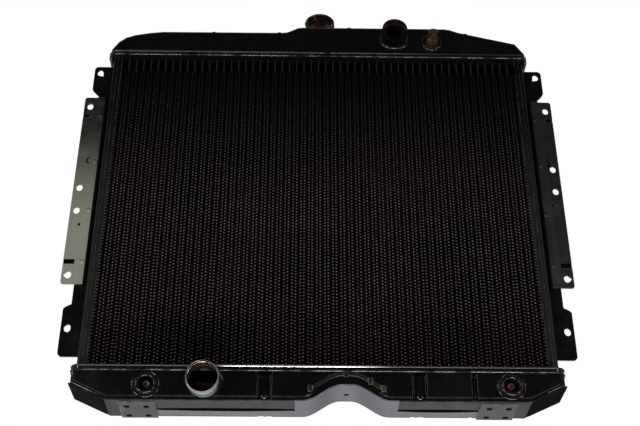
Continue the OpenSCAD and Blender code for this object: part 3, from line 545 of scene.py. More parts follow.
# %% [markdown]
# ## The pressed tanks
# A tank is drawn from one brass sheet: its front outline runs straight through its depth, its rims
# are rounded, and beads and channels are pressed into both faces. Here the outline is extruded and
# its rims bevelled. Then planes cut loops where a bead begins and ends, and the points between them
# are pushed out or in. Cutting loops first keeps the rest of the face flat. The hollow inside and
# the round openings come last, and are taken out with an exact boolean, because a bevel or a loop
# cut is cleaner on a mesh that has no holes in it yet.

# %% Pressing beads and channels
PRESS_DEPTH = 0.006

def clamped(value):
    """The value, held between 0 and 1."""
    return min(1.0, max(0.0, value))

def cut_plane(bm, place, normal, clear=False):
    """Cuts the whole mesh along a plane. With clear, what lies beyond the plane comes off."""
    bmesh.ops.bisect_plane(bm, geom=bm.verts[:] + bm.edges[:] + bm.faces[:], dist=1e-7,
                           plane_co=place, plane_no=normal, clear_outer=clear)

def cut_loops(bm, places):
    """Cuts an upright loop across the whole mesh at each of these places along X."""
    for x in places:
        cut_plane(bm, (x, 0, 0), (1, 0, 0))

def press_upright(bm, x, half, rise, low, fade, flat=0.0):
    """Pushes an upright bead out of both faces, or a channel in when rise is negative. It has a
    flat middle, slopes down to its edge at half, and fades in above low."""
    steps = [flat + (half - flat) * k / 4 for k in range(5)]
    cut_loops(bm, [x + side * step for side in (-1, 1) for step in steps])
    for v in bm.verts:
        away = max(0.0, abs(v.co.x - x) - flat) / (half - flat)
        if away >= 1:
            continue
        up = clamped((v.co.z - low) / fade)
        across = 0.5 + 0.5 * math.cos(math.pi * away)
        for face_y, side in ((FACE, -1), (BACK, 1)):
            near = 1 - abs(v.co.y - face_y) / PRESS_DEPTH
            if near > 0:
                v.co.y += side * rise * across * up * min(1.0, near * 1.5)

# %% Cutting with a boolean
def cut_away(bm, cutters):
    """Takes each cutter mesh out of the piece with an exact boolean, and returns the new bmesh."""
    def loose(name, source):
        mesh = bpy.data.meshes.new(name)
        source.to_mesh(mesh)
        source.free()
        made = bpy.data.objects.new(name, mesh)
        bpy.context.scene.collection.objects.link(made)
        return made
    body = loose("cut_body", bm)
    tools = [loose("cut_tool", cutter) for cutter in cutters]
    for tool in tools:
        modifier = body.modifiers.new("cut", "BOOLEAN")
        modifier.object = tool
        modifier.operation = "DIFFERENCE"
        modifier.solver = "EXACT"
    graph = bpy.context.evaluated_depsgraph_get()
    result = bmesh.new()
    result.from_mesh(body.evaluated_get(graph).to_mesh())
    for used in [body] + tools:
        bpy.data.objects.remove(used)
    return result

def rod(centre, radius, length, axis, segments=64):
    """A closed cylinder from centre along the axis, used to drill."""
    bm = bmesh.new()
    axis = Vector(axis).normalized()
    bmesh.ops.create_cone(bm, cap_ends=True, segments=segments, radius1=radius, radius2=radius,
                          depth=length, matrix=aimed(axis, Vector(centre) + axis * length / 2))
    return bm

# %% Outline of the top tank
CROWN = top_high.z
SKIRT = top_low.z
CROWN_LEFT = -54 * MM
CROWN_RIGHT = 196 * MM

def top_outline(inset=0.0):
    """Steep left shoulder, a step up to the crown, and a long slope down on the right."""
    half = HALF - inset
    crown = CROWN - inset
    return [(-half, SKIRT), (half, SKIRT), (half, SKIRT + 0.012), (half - 0.013, SKIRT + 0.032 - inset),
            (CROWN_RIGHT + 0.022, crown - 0.007), (CROWN_RIGHT + 0.008, crown - 0.0015),
            (CROWN_RIGHT, crown), (CROWN_LEFT + 0.030, crown), (CROWN_LEFT + 0.022, crown - 0.001),
            (CROWN_LEFT + 0.005, crown - 0.010), (CROWN_LEFT - 0.003, crown - 0.011),
            (-half + 0.076, crown - 0.012), (-half + 0.056, crown - 0.0145),
            (-half + 0.034, crown - 0.019), (-half + 0.020, crown - 0.0245),
            (-half + 0.009, crown - 0.034), (-half, SKIRT + 0.012)]

print("top tank outline:", len(top_outline()), "points")

def rim_edges(bm, front, back):
    """The edges that run round the front and the back outline."""
    return [e for e in bm.edges if all(abs(v.co.y - front) < NEAR for v in e.verts)
            or all(abs(v.co.y - back) < NEAR for v in e.verts)]

# %% Top tank
TOP_BEADS = (-0.162, -0.061, 0.047, 0.228)
BEAD_HALF = 0.0045
BEAD_RISE = 0.0018
BEAD_FOOT = 0.0105
FILLER_BORE = 0.0163

def top_tank():
    bm = slab(top_outline(), FACE, BACK)
    rims = [e for e in rim_edges(bm, FACE, BACK)
            if max(v.co.z for v in e.verts) > SKIRT + NEAR]
    round_edges(bm, rims, 0.006, 5)
    for x in TOP_BEADS:
        press_upright(bm, x, BEAD_HALF, BEAD_RISE, SKIRT + BEAD_FOOT, 0.005)
    inner = [(x, z - 0.004 if z < SKIRT + NEAR else z) for x, z in top_outline(WALL)]
    holes = [slab(inner, FACE + WALL, BACK - WALL),
             rod((UPPER.x, FACE - 0.005, UPPER.z), UPPER_RADIUS + 0.0001, 0.012, INWARD),
             rod((VENT.x, FACE - 0.005, VENT.z), 0.0067, 0.012, INWARD),
             rod((FILLER.x, FILLER.y, CROWN - 0.01), FILLER_BORE, 0.02, UPWARD)]
    return cut_away(bm, holes)

piece("top_tank_shell", top_tank(), BLACK, ("top_tank",))
print("top tank made")

# %% Outline of the bottom tank
CHAMFER = (0.046, 0.022)
ARCH_HALF = 0.056
ARCH_CROWN = 0.007
ARCH_RISE = 0.022
ARCH_STEPS = 24
BOTTOM = tank_low.z
BOTTOM_TOP = tank_high.z

def arch_rise(x):
    """Height of the arch over the flat underside: a smooth ramp from its foot to its crown."""
    ramp = clamped((ARCH_HALF - abs(x - ARCH.x)) / (ARCH_HALF - ARCH_CROWN))
    return ARCH_RISE * ramp * ramp * (3 - 2 * ramp)

def bottom_outline(inset=0.0):
    """Flat foot with the arch in it, and a corner cut off at each end."""
    half = HALF - inset
    foot = BOTTOM + inset
    arch = [ARCH.x + ARCH_HALF * (2 * i / ARCH_STEPS - 1) for i in range(ARCH_STEPS + 1)]
    return ([(-half, BOTTOM_TOP), (-half, foot + CHAMFER[1]), (-half + CHAMFER[0], foot)]
            + [(x, foot + arch_rise(x)) for x in arch]
            + [(half - CHAMFER[0], foot), (half, foot + CHAMFER[1]), (half, BOTTOM_TOP)])

print("bottom tank outline:", len(bottom_outline()), "points")

# %% Bottom tank
CHANNELS = ((LOWER.x + 0.077, 0.010), (ARCH.x + 0.093, 0.010), (PORTS[1].x - 0.047, 0.004))
CHANNEL_RISE = -0.0032
CHANNEL_SLOPE = 0.003
LEDGE = 0.0013
LEDGE_SLOPE = 0.0010
BORDER = 0.0012
PORT_Z = 0.0245
PORT_BORE = 0.0092

def bottom_tank():
    """The field of each face stands proud of a narrow border, with upright channels between."""
    bm = slab(bottom_outline(), FACE + LEDGE, BACK - LEDGE)
    round_edges(bm, [e for e in rim_edges(bm, FACE + LEDGE, BACK - LEDGE)
                     if min(v.co.z for v in e.verts) < BOTTOM_TOP - NEAR], 0.0028, 4)
    for y, side in ((FACE + LEDGE, -1), (BACK - LEDGE, 1)):
        fields = [f for f in bm.faces if all(abs(v.co.y - y) < NEAR for v in f.verts)]
        for thickness, rise in ((BORDER, 0.0), (LEDGE_SLOPE, LEDGE)):
            bmesh.ops.inset_region(bm, faces=fields, thickness=thickness, depth=0,
                                   use_even_offset=True)
            raised = {v for f in fields for v in f.verts}
            for v in raised:
                v.co.y += side * rise
                v.co.z += 0.004 * arch_rise(v.co.x) / ARCH_RISE
    for x, half in CHANNELS:
        press_upright(bm, x, half, CHANNEL_RISE, BOTTOM - 0.01, 0.001, half - CHANNEL_SLOPE)
    lifted = [(x, z + 0.004 if z > BOTTOM_TOP - NEAR else z) for x, z in bottom_outline(0.0025)]
    hollow = slab(lifted, FACE + 0.0055, BACK - 0.0055)
    neck = rod((LOWER.x, FACE - 0.006, LOWER_Z + 0.001), LOWER_RADIUS + 0.0002, 0.02,
               (0, 0.985, 0.174))
    bores = [rod((port.x, FACE - 0.006, PORT_Z), PORT_BORE, 0.016, INWARD) for port in PORTS]
    bm = cut_away(bm, [hollow, neck] + bores)
    # The underside of the tank, which lies on the strap, gets the dull black: painted shade under the
    # tank.
    for face in bm.faces:
        if max(v.co.z for v in face.verts) < BOTTOM + 0.0005:
            face.material_index = 1
    return bm

piece("bottom_tank_shell", bottom_tank(), (BLACK, DULL), ("bottom_tank",))

def stiffening_fingers():
    """A long round-ended bead in each channel: a ball, flattened, and stretched by its halves."""
    bm = bmesh.new()
    for x, half in CHANNELS:
        wide = min(half * 0.58, 0.0055)
        for y in (FACE + 0.0022, BACK - 0.0022):
            ball = bmesh.ops.create_uvsphere(bm, u_segments=24, v_segments=17, radius=1,
                                             matrix=sized((x, y, 0), (wide, 0.0036, wide)))
            for v in ball["verts"]:
                v.co.z += BOTTOM_TOP - 0.0155 if v.co.z > 0 else BOTTOM + 0.0062
    # The middle of each finger gets the dull black, so only its ends shine: painted shade on the
    # middle.
    for face in bm.faces:
        if BOTTOM + 0.008 < face.calc_center_median().z < BOTTOM_TOP - 0.017:
            face.material_index = 1
    return bm

piece("bottom_tank_fingers", stiffening_fingers(), (BLACK, DULL), angle=180)
print("bottom tank made")

# %% [markdown]
# ## Header trays
# Each tank sits in a tray whose rim is folded up round it and rolled at both edges. The two rolls
# catch the light as a pair of bright lines, and the solder finishes on their fronts are partly a
# painted highlight of those lines. The plate inside is dull black, painted shade. The rim is a stack
# of round-cornered rings, one for each point of its profile, bridged from ring to ring. A lathe
# profile can't make it, because the tray isn't round.

# %% Header rims
CORNER = 0.012
RING_POINTS = 32
ROLL = 0.0015
ROLL_OUT = 0.0020
SOLDER_AND_HIGHLIGHT_BAND = 0.0027
TRAY_SHEET = 0.0018

def ring(bm, offset, z):
    """A round-cornered rectangle of points round the tank, that far out, at height z."""
    radius = CORNER + offset
    made = bmesh.ops.create_circle(bm, segments=RING_POINTS, radius=radius)["verts"]
    bmesh.ops.rotate(bm, verts=made, cent=(0, 0, 0),
                     matrix=Matrix.Rotation(math.pi / RING_POINTS, 3, "Z"))
    for v in made:
        v.co.x += math.copysign(HALF + offset - radius, v.co.x)
        v.co.y += MID_Y + math.copysign((BACK - FACE) / 2 + offset - radius, v.co.y)
        v.co.z = z
    return [e for e in bm.edges if all(v in made for v in e.verts)]

def rim_profile():
    """Points (offset, height) round the rim: two rolls with a waist between them."""
    low = arc((ROLL_OUT, ROLL), ROLL, -90, 60, 6)
    high = arc((ROLL_OUT, RIM - ROLL), ROLL, -60, 90, 6)
    return [(0.0001, 0.0)] + low + high + [(0.0001, RIM)]

def header(name, rim_z, plate_z, node, upper, lower):
    """The tray, with the finish upper or lower along the front of that roll, partly a painted
    highlight, and its plate dull black, painted shade.
    """
    bm = bmesh.new()
    rings = [ring(bm, offset, rim_z + z) for offset, z in rim_profile()]
    for first, second in zip(rings, rings[1:] + rings[:1]):
        bmesh.ops.bridge_loops(bm, edges=first + second)
    plate = ring(bm, -0.0001, plate_z)
    bmesh.ops.contextual_create(bm, geom=plate)
    thicken(bm, [f for f in bm.faces if len(f.verts) > 4], (0, 0, TRAY_SHEET))
    for face in bm.faces:
        spot = face.calc_center_median()
        rise = spot.z - rim_z
        # The plate inside the rim gets the dull black: painted shade, so it shows no reflection beside
        # the core.
        if abs(spot.x) < HALF - CORNER and FACE < spot.y < BACK:
            face.material_index = 3
        # The fronts of the two rolls, near their edges: solder that is partly a painted highlight,
        # bright on the upper roll and dim on the lower.
        elif spot.y < FACE - 0.0024 and not SOLDER_AND_HIGHLIGHT_BAND < rise < RIM - SOLDER_AND_HIGHLIGHT_BAND:
            face.material_index = 1 if rise > RIM / 2 else 2
    piece(name, bm, (BLACK, upper, lower, DULL), (node,))

plate_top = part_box("top_header")[0].z
bottom_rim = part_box("bottom_header")[0].z
header("top_header_tray", plate_top, plate_top, "top_header", SOLDER_SOFT_HIGHLIGHT, SOLDER_DIM_HIGHLIGHT)
header("bottom_header_tray", bottom_rim, BOTTOM_TOP, "bottom_header", SOLDER_BRIGHT_HIGHLIGHT, SOLDER_DIM_HIGHLIGHT)
print("headers made")

# %% [markdown]
# ## The core
# Between every two tubes lies one strip of fin: thin foil that is folded to and fro, with its
# crests soldered to the tubes. Seen from the front the crests read as pairs of small bright dots
# beside each dark tube. One strip is a chain of points along a rounded zigzag, thicker at the
# crests where solder has run in, bridged into a ribbon and extruded through the core's depth. The
# same mesh is then added once for each gap, slid up or down a little, as hand-laid strips are.

# %% Core finishes
PITCH = 11.1 * MM
fin_low, fin_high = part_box("fin_strips_middle")
FIN_DEPTH = fin_high.y - fin_low.y

def core_finish(name, bare, crest, middle, rough):
    """Thin black over copper, worn on the front of the crests. On that worn copper sits a painted
    highlight, and painted shade darkens the top of the core, the lit crests just above the bottom seam
    and the depth behind the front edge.
    """
    material, tree = start_material(name)
    across, depth, height = (along(tree, axis) for axis in range(3))
    gap = math_node(tree, "PINGPONG", across, PITCH / 2)
    near_tube = between(tree, gap, 0.0036, 0.0026)
    inward = math_node(tree, "PINGPONG", math_node(tree, "SUBTRACT", depth, fin_low.y),
                       FIN_DEPTH / 2)
    front = between(tree, inward, 0.0009, 0.0003)
    patches = effect(tree, GRIME, Scale=7.0, Low=0.42, High=0.72)
    specks = effect(tree, GRIME, Scale=420.0, Low=0.25, High=0.6)
    # Painted shade by height: the foil and its copper patches are lighter low down and fade to near
    # black towards the top.
    painted_light_below = between(tree, height, 0.56, 0.25)
    # Painted shade just above the bottom seam: the lit crests are dimmer there.
    foot = between(tree, height, 0.085, 0.150)
    shade = math_node(tree, "ADD", math_node(tree, "MULTIPLY", painted_light_below, 0.95), 0.08)
    shade = math_node(tree, "MULTIPLY", shade,
                      math_node(tree, "ADD", math_node(tree, "MULTIPLY", foot, 0.5), 0.6))
    # Painted highlight: the crest dots beside each tube, on the front edge only, dimmed by the painted
    # shade above.
    lit = math_node(tree, "MULTIPLY", near_tube, specks)
    lit = math_node(tree, "MULTIPLY", math_node(tree, "MULTIPLY", lit, front), shade)
    copper = blend_colour(tree, math_node(tree, "MULTIPLY", patches, painted_light_below), middle, bare)
    copper = blend_colour(tree, painted_light_below, (0.0011, 0.0010, 0.0010), copper)
    # Painted shade in the depth: past the front edge the foil turns near black.
    painted_depth_shade = between(tree, inward, 0.0010, 0.0050)
    inner = blend_colour(tree, painted_depth_shade, copper, (0.0006, 0.0005, 0.0005))
    rows = between(tree, height, 0.070, 0.060)
    colour = blend_colour(tree, lit, inner, blend_colour(tree, rows, crest, (0.5, 0.36, 0.28)))
    slats = add(tree, "ShaderNodeTexWave", Vector=place_on(tree), Scale=260.0, Distortion=0.0)
    slats.bands_direction = "Y"
    louvres = bump(tree, slats.outputs["Fac"], 0.5, 0.0004)
    end_material(tree, Base_Color=colour, Roughness=rough, IOR=1.45, Normal=louvres,
                 Specular_IOR_Level=0.03)
    return material

FIN = core_finish("fins_black_copper_painted_light", (0.015, 0.0066, 0.0056), (0.15, 0.132, 0.122),
                  (0.0045, 0.0034, 0.003), 0.35)
TUBE = paint("thin_black_on_tubes", (0.0018, 0.0016, 0.0015), (0.013, 0.0125, 0.012),
             (0.012, 0.01, 0.009), (0.4, 0.6), 1.12, wear=0.3, fade=(2, 0.534, 0.544))
# A rough black for the outside of the upper neck, darker than the gloss black: painted shade, so the
# neck holds no highlight.
ROUGH_BLACK = paint("rough_black_on_neck", (0.0012, 0.0011, 0.001), (0.003, 0.0024, 0.0022),
             (0.012, 0.01, 0.009), (0.4, 0.6), 1.12, wear=0.3)
print("tube pitch", PITCH, "fin depth", round(FIN_DEPTH, 4))

# %% One fin strip
WAVES = 97
PER_WAVE = 8
TUBE_THICK = 2.2 * MM
STRIP_HALF = (PITCH - TUBE_THICK) / 2 + 0.03 * MM
FOIL_HALF = 0.00012
CREST_FILL = 0.0006
NUDGE = 0.02

def zigzag(turn):
    """Rounded zigzag from -1 to 1 over one turn."""
    return math.asin(0.7 * math.sin(math.tau * turn)) / math.asin(0.7)

def fin_rails(bm, y, share):
    """Two chains of points, one on each side of the foil, at depth y, with that share of its
    full thickness."""
    rails = ([], [])
    step = (fin_high.z - fin_low.z) / (WAVES * PER_WAVE)
    for i in range(WAVES * PER_WAVE + 1):
        turn = i / PER_WAVE
        height = fin_low.z + i * step
        climb = zigzag(turn + NUDGE) - zigzag(turn - NUDGE)
        slope = climb * STRIP_HALF / (2 * NUDGE * PER_WAVE * step)
        full = FOIL_HALF + CREST_FILL * abs(zigzag(turn)) ** 5
        reach = STRIP_HALF - full
        length = math.hypot(1, slope)
        for rail, side in zip(rails, (-1, 1)):
            thick = side * full * share / length
            rail.append(bm.verts.new((reach * zigzag(turn) + thick, y, height - thick * slope)))
    return [[bm.edges.new(pair) for pair in zip(rail, rail[1:])] for rail in rails]

def fin_strip():
    """The foil between two tubes: its front edge is rounded by a thinner first pair of chains."""
    bm = bmesh.new()
    nose = fin_rails(bm, 0.0, 0.3)
    front = fin_rails(bm, 0.0004, 1.0)
    back = fin_rails(bm, FIN_DEPTH, 1.0)
    for first, second in ((nose[0], nose[1]), (nose[0], front[0]), (nose[1], front[1]),
                          (front[0], back[0]), (front[1], back[1]), (back[0], back[1])):
        bmesh.ops.bridge_loops(bm, edges=first + second)
    bmesh.ops.holes_fill(bm, edges=bm.edges)
    bmesh.ops.recalc_face_normals(bm, faces=bm.faces)
    mesh = bpy.data.meshes.new("fin_strip")
    bm.to_mesh(mesh)
    bm.free()
    return mesh

# %% All fin strips
STRIPS = 18
SLIDE = 0.0011

def fin_pack(name, node, strip):
    """Strips side by side in the gaps that one CAD node fills."""
    low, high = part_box(node)
    first = (low.x + high.x) / 2 - (STRIPS - 1) * PITCH / 2
    bm = bmesh.new()
    for i in range(STRIPS):
        start = len(bm.verts)
        bm.from_mesh(strip)
        bm.verts.ensure_lookup_table()
        slide = SLIDE * math.sin(2.3 * (first / PITCH + i) ** 2)
        bmesh.ops.translate(bm, vec=(first + i * PITCH, fin_low.y, slide), verts=bm.verts[start:])
    return piece(name, bm, FIN, (node,), angle=60)

one_strip = fin_strip()
for side in ("left", "middle", "right"):
    pack = fin_pack("fins_" + side, "fin_strips_" + side, one_strip)
    print(pack.name, len(pack.data.polygons), "faces")
bpy.data.meshes.remove(one_strip)

# %% [markdown]
# ## Louvres in the depth
# Rows of louvres are cut in the real foil. They turn the air aside, and they also stop the view
# straight through the core. Thousands of tiny slats would cost far more than they show, so one thin
# black sheet between the first and the second row of tubes stops the view instead. Its dull black is
# painted shade, the dark that the depth of the core shows.

# %% Shade sheet in the core
def core_shade_sheet():
    bm = bmesh.new()
    depth = (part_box("tubes_front")[1].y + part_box("tubes_middle")[0].y) / 2
    size = (2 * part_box("fin_strips_right")[1].x, 0.0004, fin_high.z - fin_low.z)
    spot = (0, depth, (fin_low.z + fin_high.z) / 2)
    bmesh.ops.create_cube(bm, size=1, matrix=sized(spot, size))
    return bm

# A dull black sheet: painted shade in the depth of the core.
piece("core_shade_sheet", core_shade_sheet(), DULL, ())
print("louvre sheet made")

# %% [markdown]
# ## Hose necks, filler and ports
# These are round parts, so each is a profile spun round its own axis. The necks are painted outside
# and left bare inside, where the copper shows. Faces that look towards the axis get the second
# finish.

# %% Round parts
def bare_inside(bm, centre, axis, radius):
    """Gives faces closer to the axis than radius the piece's second material."""
    axis = Vector(axis).normalized()
    for face in bm.faces:
        out = face.calc_center_median() - Vector(centre)
        if (out - axis * out.dot(axis)).length < radius:
            face.material_index = 1

NECK_WALL = 0.0014
NECK_ROOT = 0.004

def neck_profile(radius, length):
    """A tube with a rolled lip at its mouth and a hose bead behind it."""
    bore = radius - NECK_WALL
    bead = arc((radius - 0.0002, length - 0.008), 0.0011, -80, 80, 6)
    lip = arc((radius - NECK_WALL / 2, length - NECK_WALL / 2), NECK_WALL / 2, 0, 180, 6)
    return ([(radius, -NECK_ROOT)] + bead + lip + [(bore, length - 0.0055)]
            + arc((bore - 0.0001, length - 0.008), 0.0008, 80, -80, 4)
            + [(bore, -NECK_ROOT), (radius, -NECK_ROOT)])

def hose_neck(name, centre, axis, radius, length, node, outside, inside):
    bm = turned(neck_profile(radius, length), centre, axis)
    bare_inside(bm, centre, axis, radius - 0.0010)
    piece(name, bm, (outside, inside), (node,))

TILT = math.radians(10)
LOWER_AXIS = (0, -math.cos(TILT), -math.sin(TILT))
upper_root = (UPPER.x, FACE, UPPER.z)
lower_root = (LOWER.x, FACE, LOWER_Z)
hose_neck("upper_neck", upper_root, OUTWARD, UPPER_RADIUS, 0.026, "upper_hose_neck", ROUGH_BLACK, STAINED)
hose_neck("lower_neck", lower_root, LOWER_AXIS, LOWER_RADIUS, 0.034, "lower_hose_neck", NECK,
          BARE_BORE_LIT)

# %% Neck collars
FILLET_REACH = 0.0045
FILLET_RISE = 0.004

def fillet_profile(radius):
    """A solder fillet that runs from the tank up the neck in a hollow curve."""
    turns = [math.pi / 2 * k / 6 for k in range(7)]
    curve = [(radius + FILLET_REACH * (1 - math.sin(t)), FILLET_RISE * (1 - math.cos(t)))
             for t in turns]
    return curve + [(radius - 0.0003, FILLET_RISE), (radius - 0.0003, -0.0006),
                    (radius + FILLET_REACH, -0.0006), curve[0]]

def collar(name, root, axis, radius, node, lowest, highest):
    """The fillet, trimmed where it meets the tray's rim and the strap."""
    bm = turned(fillet_profile(radius), root, axis)
    cut_plane(bm, (0, 0, lowest), (0, 0, -1), True)
    cut_plane(bm, (0, 0, highest), UPWARD, True)
    bmesh.ops.holes_fill(bm, edges=bm.edges)
    piece(name, bm, BLACK, (node,))

collar("upper_collar", upper_root, OUTWARD, UPPER_RADIUS, "upper_neck_collar",
       SKIRT + 0.0072, CROWN - 0.001)
collar("lower_collar", lower_root, LOWER_AXIS, LOWER_RADIUS, "lower_neck_collar",
       BOTTOM + 0.0005, BOTTOM_TOP - 0.0073)
print("necks made")

# %% Oil ports
def port_profile():
    """Two rings and a wide bore, from the tank outwards."""
    outer = arc((0.0172, 0.0), 0.0022, 0, 180, 8)
    dome = arc((0.0118, 0.0024), 0.0026, 0, 150, 8)
    return outer[:-1] + [(0.0150, 0.0024)] + dome + [(0.0088, 0.0020), (0.0088, -0.0125)]

def seat_profile():
    """A shallow cone with a raised middle, sunk in the port's bore."""
    return [(0.0, -0.0046), (0.0018, -0.0044), (0.0028, -0.0020), (0.0046, -0.0016),
            (0.0054, -0.0030), (0.0087, -0.0112), (0.0087, -0.012), (0.0, -0.012)]

for side, port in zip(("left", "right"), PORTS):
    centre = (port.x, FACE, PORT_Z)
    piece("oil_port_" + side, turned(port_profile(), centre, OUTWARD), BLACK,
          ("cooler_port_" + side,))
    piece("oil_port_seat_" + side, turned(seat_profile(), centre, OUTWARD, 40), COPPER, ())
print("ports made")

# %% Filler neck
def filler():
    """The neck, its turned-out flange and the rolled lip, as one spun wall."""
    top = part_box("filler_flange")[1].z - CROWN
    lip = arc((0.0219, top - 0.0016), 0.0016, -90, 160, 9)
    profile = ([(0.0146, -0.004), (0.0162, -0.004), (0.0162, 0.0), (0.0163, top - 0.009)]
               + [(0.0181, top - 0.009), (0.0181, top - 0.0032)] + lip
               + [(0.0185, top - 0.0014), (0.0165, top - 0.0014), (0.0150, top - 0.004),
                  (0.0146, top - 0.006), (0.0146, -0.004)])
    return turned(profile, (FILLER.x, FILLER.y, CROWN), UPWARD)

piece("filler_neck_turned", filler(), STAINED, ("filler_neck",))

def cam_ramps():
    """Two hooks under the flange, bent up from its edge, that hold the cap's ears."""
    bm = bmesh.new()
    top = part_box("filler_flange")[1].z
    place = Matrix.Translation((FILLER.x, FILLER.y, top))
    for turn in (20, 200):
        hook = Matrix.Rotation(math.radians(turn), 4, "Z") @ sized((0.0222, 0, -0.0035),
                                                                   (0.002, 0.012, 0.0045))
        bmesh.ops.create_cube(bm, size=1, matrix=place @ hook)
    round_edges(bm, bm.edges[:], 0.0006, 2)
    return bm

piece("filler_cams", cam_ramps(), COPPER, ("filler_flange",))
print("filler made")

# %% [markdown]
# ## Side brackets
# The brackets are punched from sheet: an outline with round and pointed holes, then a few creases.
# The outline is extruded, each hole is punched out of it with a boolean, as a press would do, and
# a small bevel breaks the punched edge.

# %% Punched plates
TALL = 1.25
HOLE_RADIUS = 0.0044
HOLE_STEPS = 32

def stretched(curve, z):
    """A hole a little taller than wide, so the bolt can be slid to fit."""
    return [(px, z + (pz - z) * TALL) for px, pz in curve]

def round_hole(x, z):
    last = 360 * (1 - 1 / HOLE_STEPS)
    return stretched(arc((x, z), HOLE_RADIUS, 0, last, HOLE_STEPS - 1), z)

def pointed_hole(x, z, turn):
    """The same hole with a pointed notch towards turn, in degrees."""
    tip = math.radians(turn)
    reach = 1.6 * HOLE_RADIUS
    curve = arc((x, z), HOLE_RADIUS, turn + 42, turn + 318, 26)
    return stretched(curve + [(x + reach * math.cos(tip), z + reach * math.sin(tip))], z)

def rectangle(x0, x1, z0, z1):
    return [(x0, z0), (x1, z0), (x1, z1), (x0, z1)]

def punched(outline, holes, front, back):
    """A plate with its holes punched out, and a small bevel round every edge."""
    punches = [slab(hole, front - 0.002, back + 0.002) for hole in holes]
    bm = cut_away(slab(outline, front, back), punches)
    bmesh.ops.dissolve_limit(bm, angle_limit=0.01, verts=bm.verts, edges=bm.edges)
    break_edges(bm)
    return bm

# %% Bracket places
bracket_low, bracket_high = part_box("side_bracket_right")
flange_low, flange_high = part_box("side_flange_right")
PLATE_HOLES = (0.188, 0.473)
TAB_HOLES = (0.109, 0.539)
HOLE_X = 0.340
TAB_X = 0.332
PAIR_GAP = 0.0381
CREASE = 0.3305
CREASE_HALF = 0.0012
CREASE_STEP = 0.0011
EDGE_GAP = 0.3188

def plate_outline():
    """The bracket plate, with small clipped corners outside."""
    near, far = bracket_low.x, bracket_high.x
    low, high = bracket_low.z, bracket_high.z
    points = [(near, low), (far - 0.004, low)] + arc((far - 0.004, low + 0.004), 0.004, -90, 0, 4)
    points += arc((far - 0.004, high - 0.004), 0.004, 0, 90, 4) + [(near, high)]
    return points

def for_side(bm, side):
    """The right-hand piece as it is, or mirrored for the left, where side is -1."""
    if side < 0:
        bmesh.ops.scale(bm, vec=(-1, 1, 1), verts=bm.verts)
        bmesh.ops.reverse_faces(bm, faces=bm.faces)
    return bm

print("bracket plates are", round(bracket_high.z - bracket_low.z, 4), "tall")

# %% Bracket plates
def stamped_ring(bm, x, z, y, radius):
    """A raised ring on the plate, in the second finish."""
    ring_profile = [(radius + 0.0011 * math.cos(a), 0.0009 * math.sin(a))
                    for a in [math.tau * k / 8 for k in range(9)]]
    extra = turned(ring_profile, (x, y, z), OUTWARD, 28)
    for face in extra.faces:
        face.material_index = 1
    join(bm, extra)

def bracket_plate(side, pair, ring_place):
    """Sheet with a crease along its length, two pressed-in joggles, a blind hole and a ring. The floors
    of the joggles and the hole, and the strip inside the edge gap, get the dull black: painted shade in
    the recesses and the gap.
    """
    holes = [round_hole(HOLE_X, PLATE_HOLES[1]), pointed_hole(HOLE_X, PLATE_HOLES[0], 0)]
    holes += [round_hole(HOLE_X, z) for z in (pair, pair + PAIR_GAP)]
    bm = punched(plate_outline(), holes, bracket_low.y, bracket_high.y)
    upper, lower, blind = PLATE_HOLES[1] - 0.017, PLATE_HOLES[0] + 0.0206, pair - 0.023
    pockets = [rectangle(0.3385, 0.351, upper - 0.003, upper + 0.003),
               rectangle(CREASE + 0.003, 0.351, lower - 0.0037, lower + 0.0037),
               rectangle(0.3320, 0.3355, blind - 0.0022, blind + 0.0022)]
    bm = cut_away(bm, [slab(pocket, bracket_low.y - 0.002, bracket_low.y + 0.0017)
                       for pocket in pockets])
    bm.normal_update()
    cut_loops(bm, (EDGE_GAP, CREASE - CREASE_HALF, CREASE + CREASE_HALF))
    for v in bm.verts:
        v.co.y -= CREASE_STEP * clamped((CREASE + CREASE_HALF - v.co.x) / (2 * CREASE_HALF))
    # Painted shade: dull black on the sunk floors and on the strip inward of the edge gap.
    for face in bm.faces:
        spot = face.calc_center_median()
        sunk = any(pocket[0][0] - 1e-5 < spot.x < pocket[1][0] + 1e-5
                   and pocket[0][1] - 1e-5 < spot.z < pocket[2][1] + 1e-5 for pocket in pockets)
        if spot.x < EDGE_GAP or (sunk and spot.y > bracket_low.y + 0.0002 and spot.x < 0.3488):
            face.material_index = 1
    stamped_ring(bm, *ring_place, bracket_low.y, 0.0046)
    return for_side(bm, side)

piece("bracket_plate_left", bracket_plate(-1, 0.291, (0.3305, 0.376)), (GREEN, DULL),
      ("side_bracket_left",))
piece("bracket_plate_right", bracket_plate(1, 0.330, (0.3310, 0.378)), (SHADED_GREEN, DULL),
      ("side_bracket_right",))

# %% Side flanges
FLANGE_SHEET = 0.0025

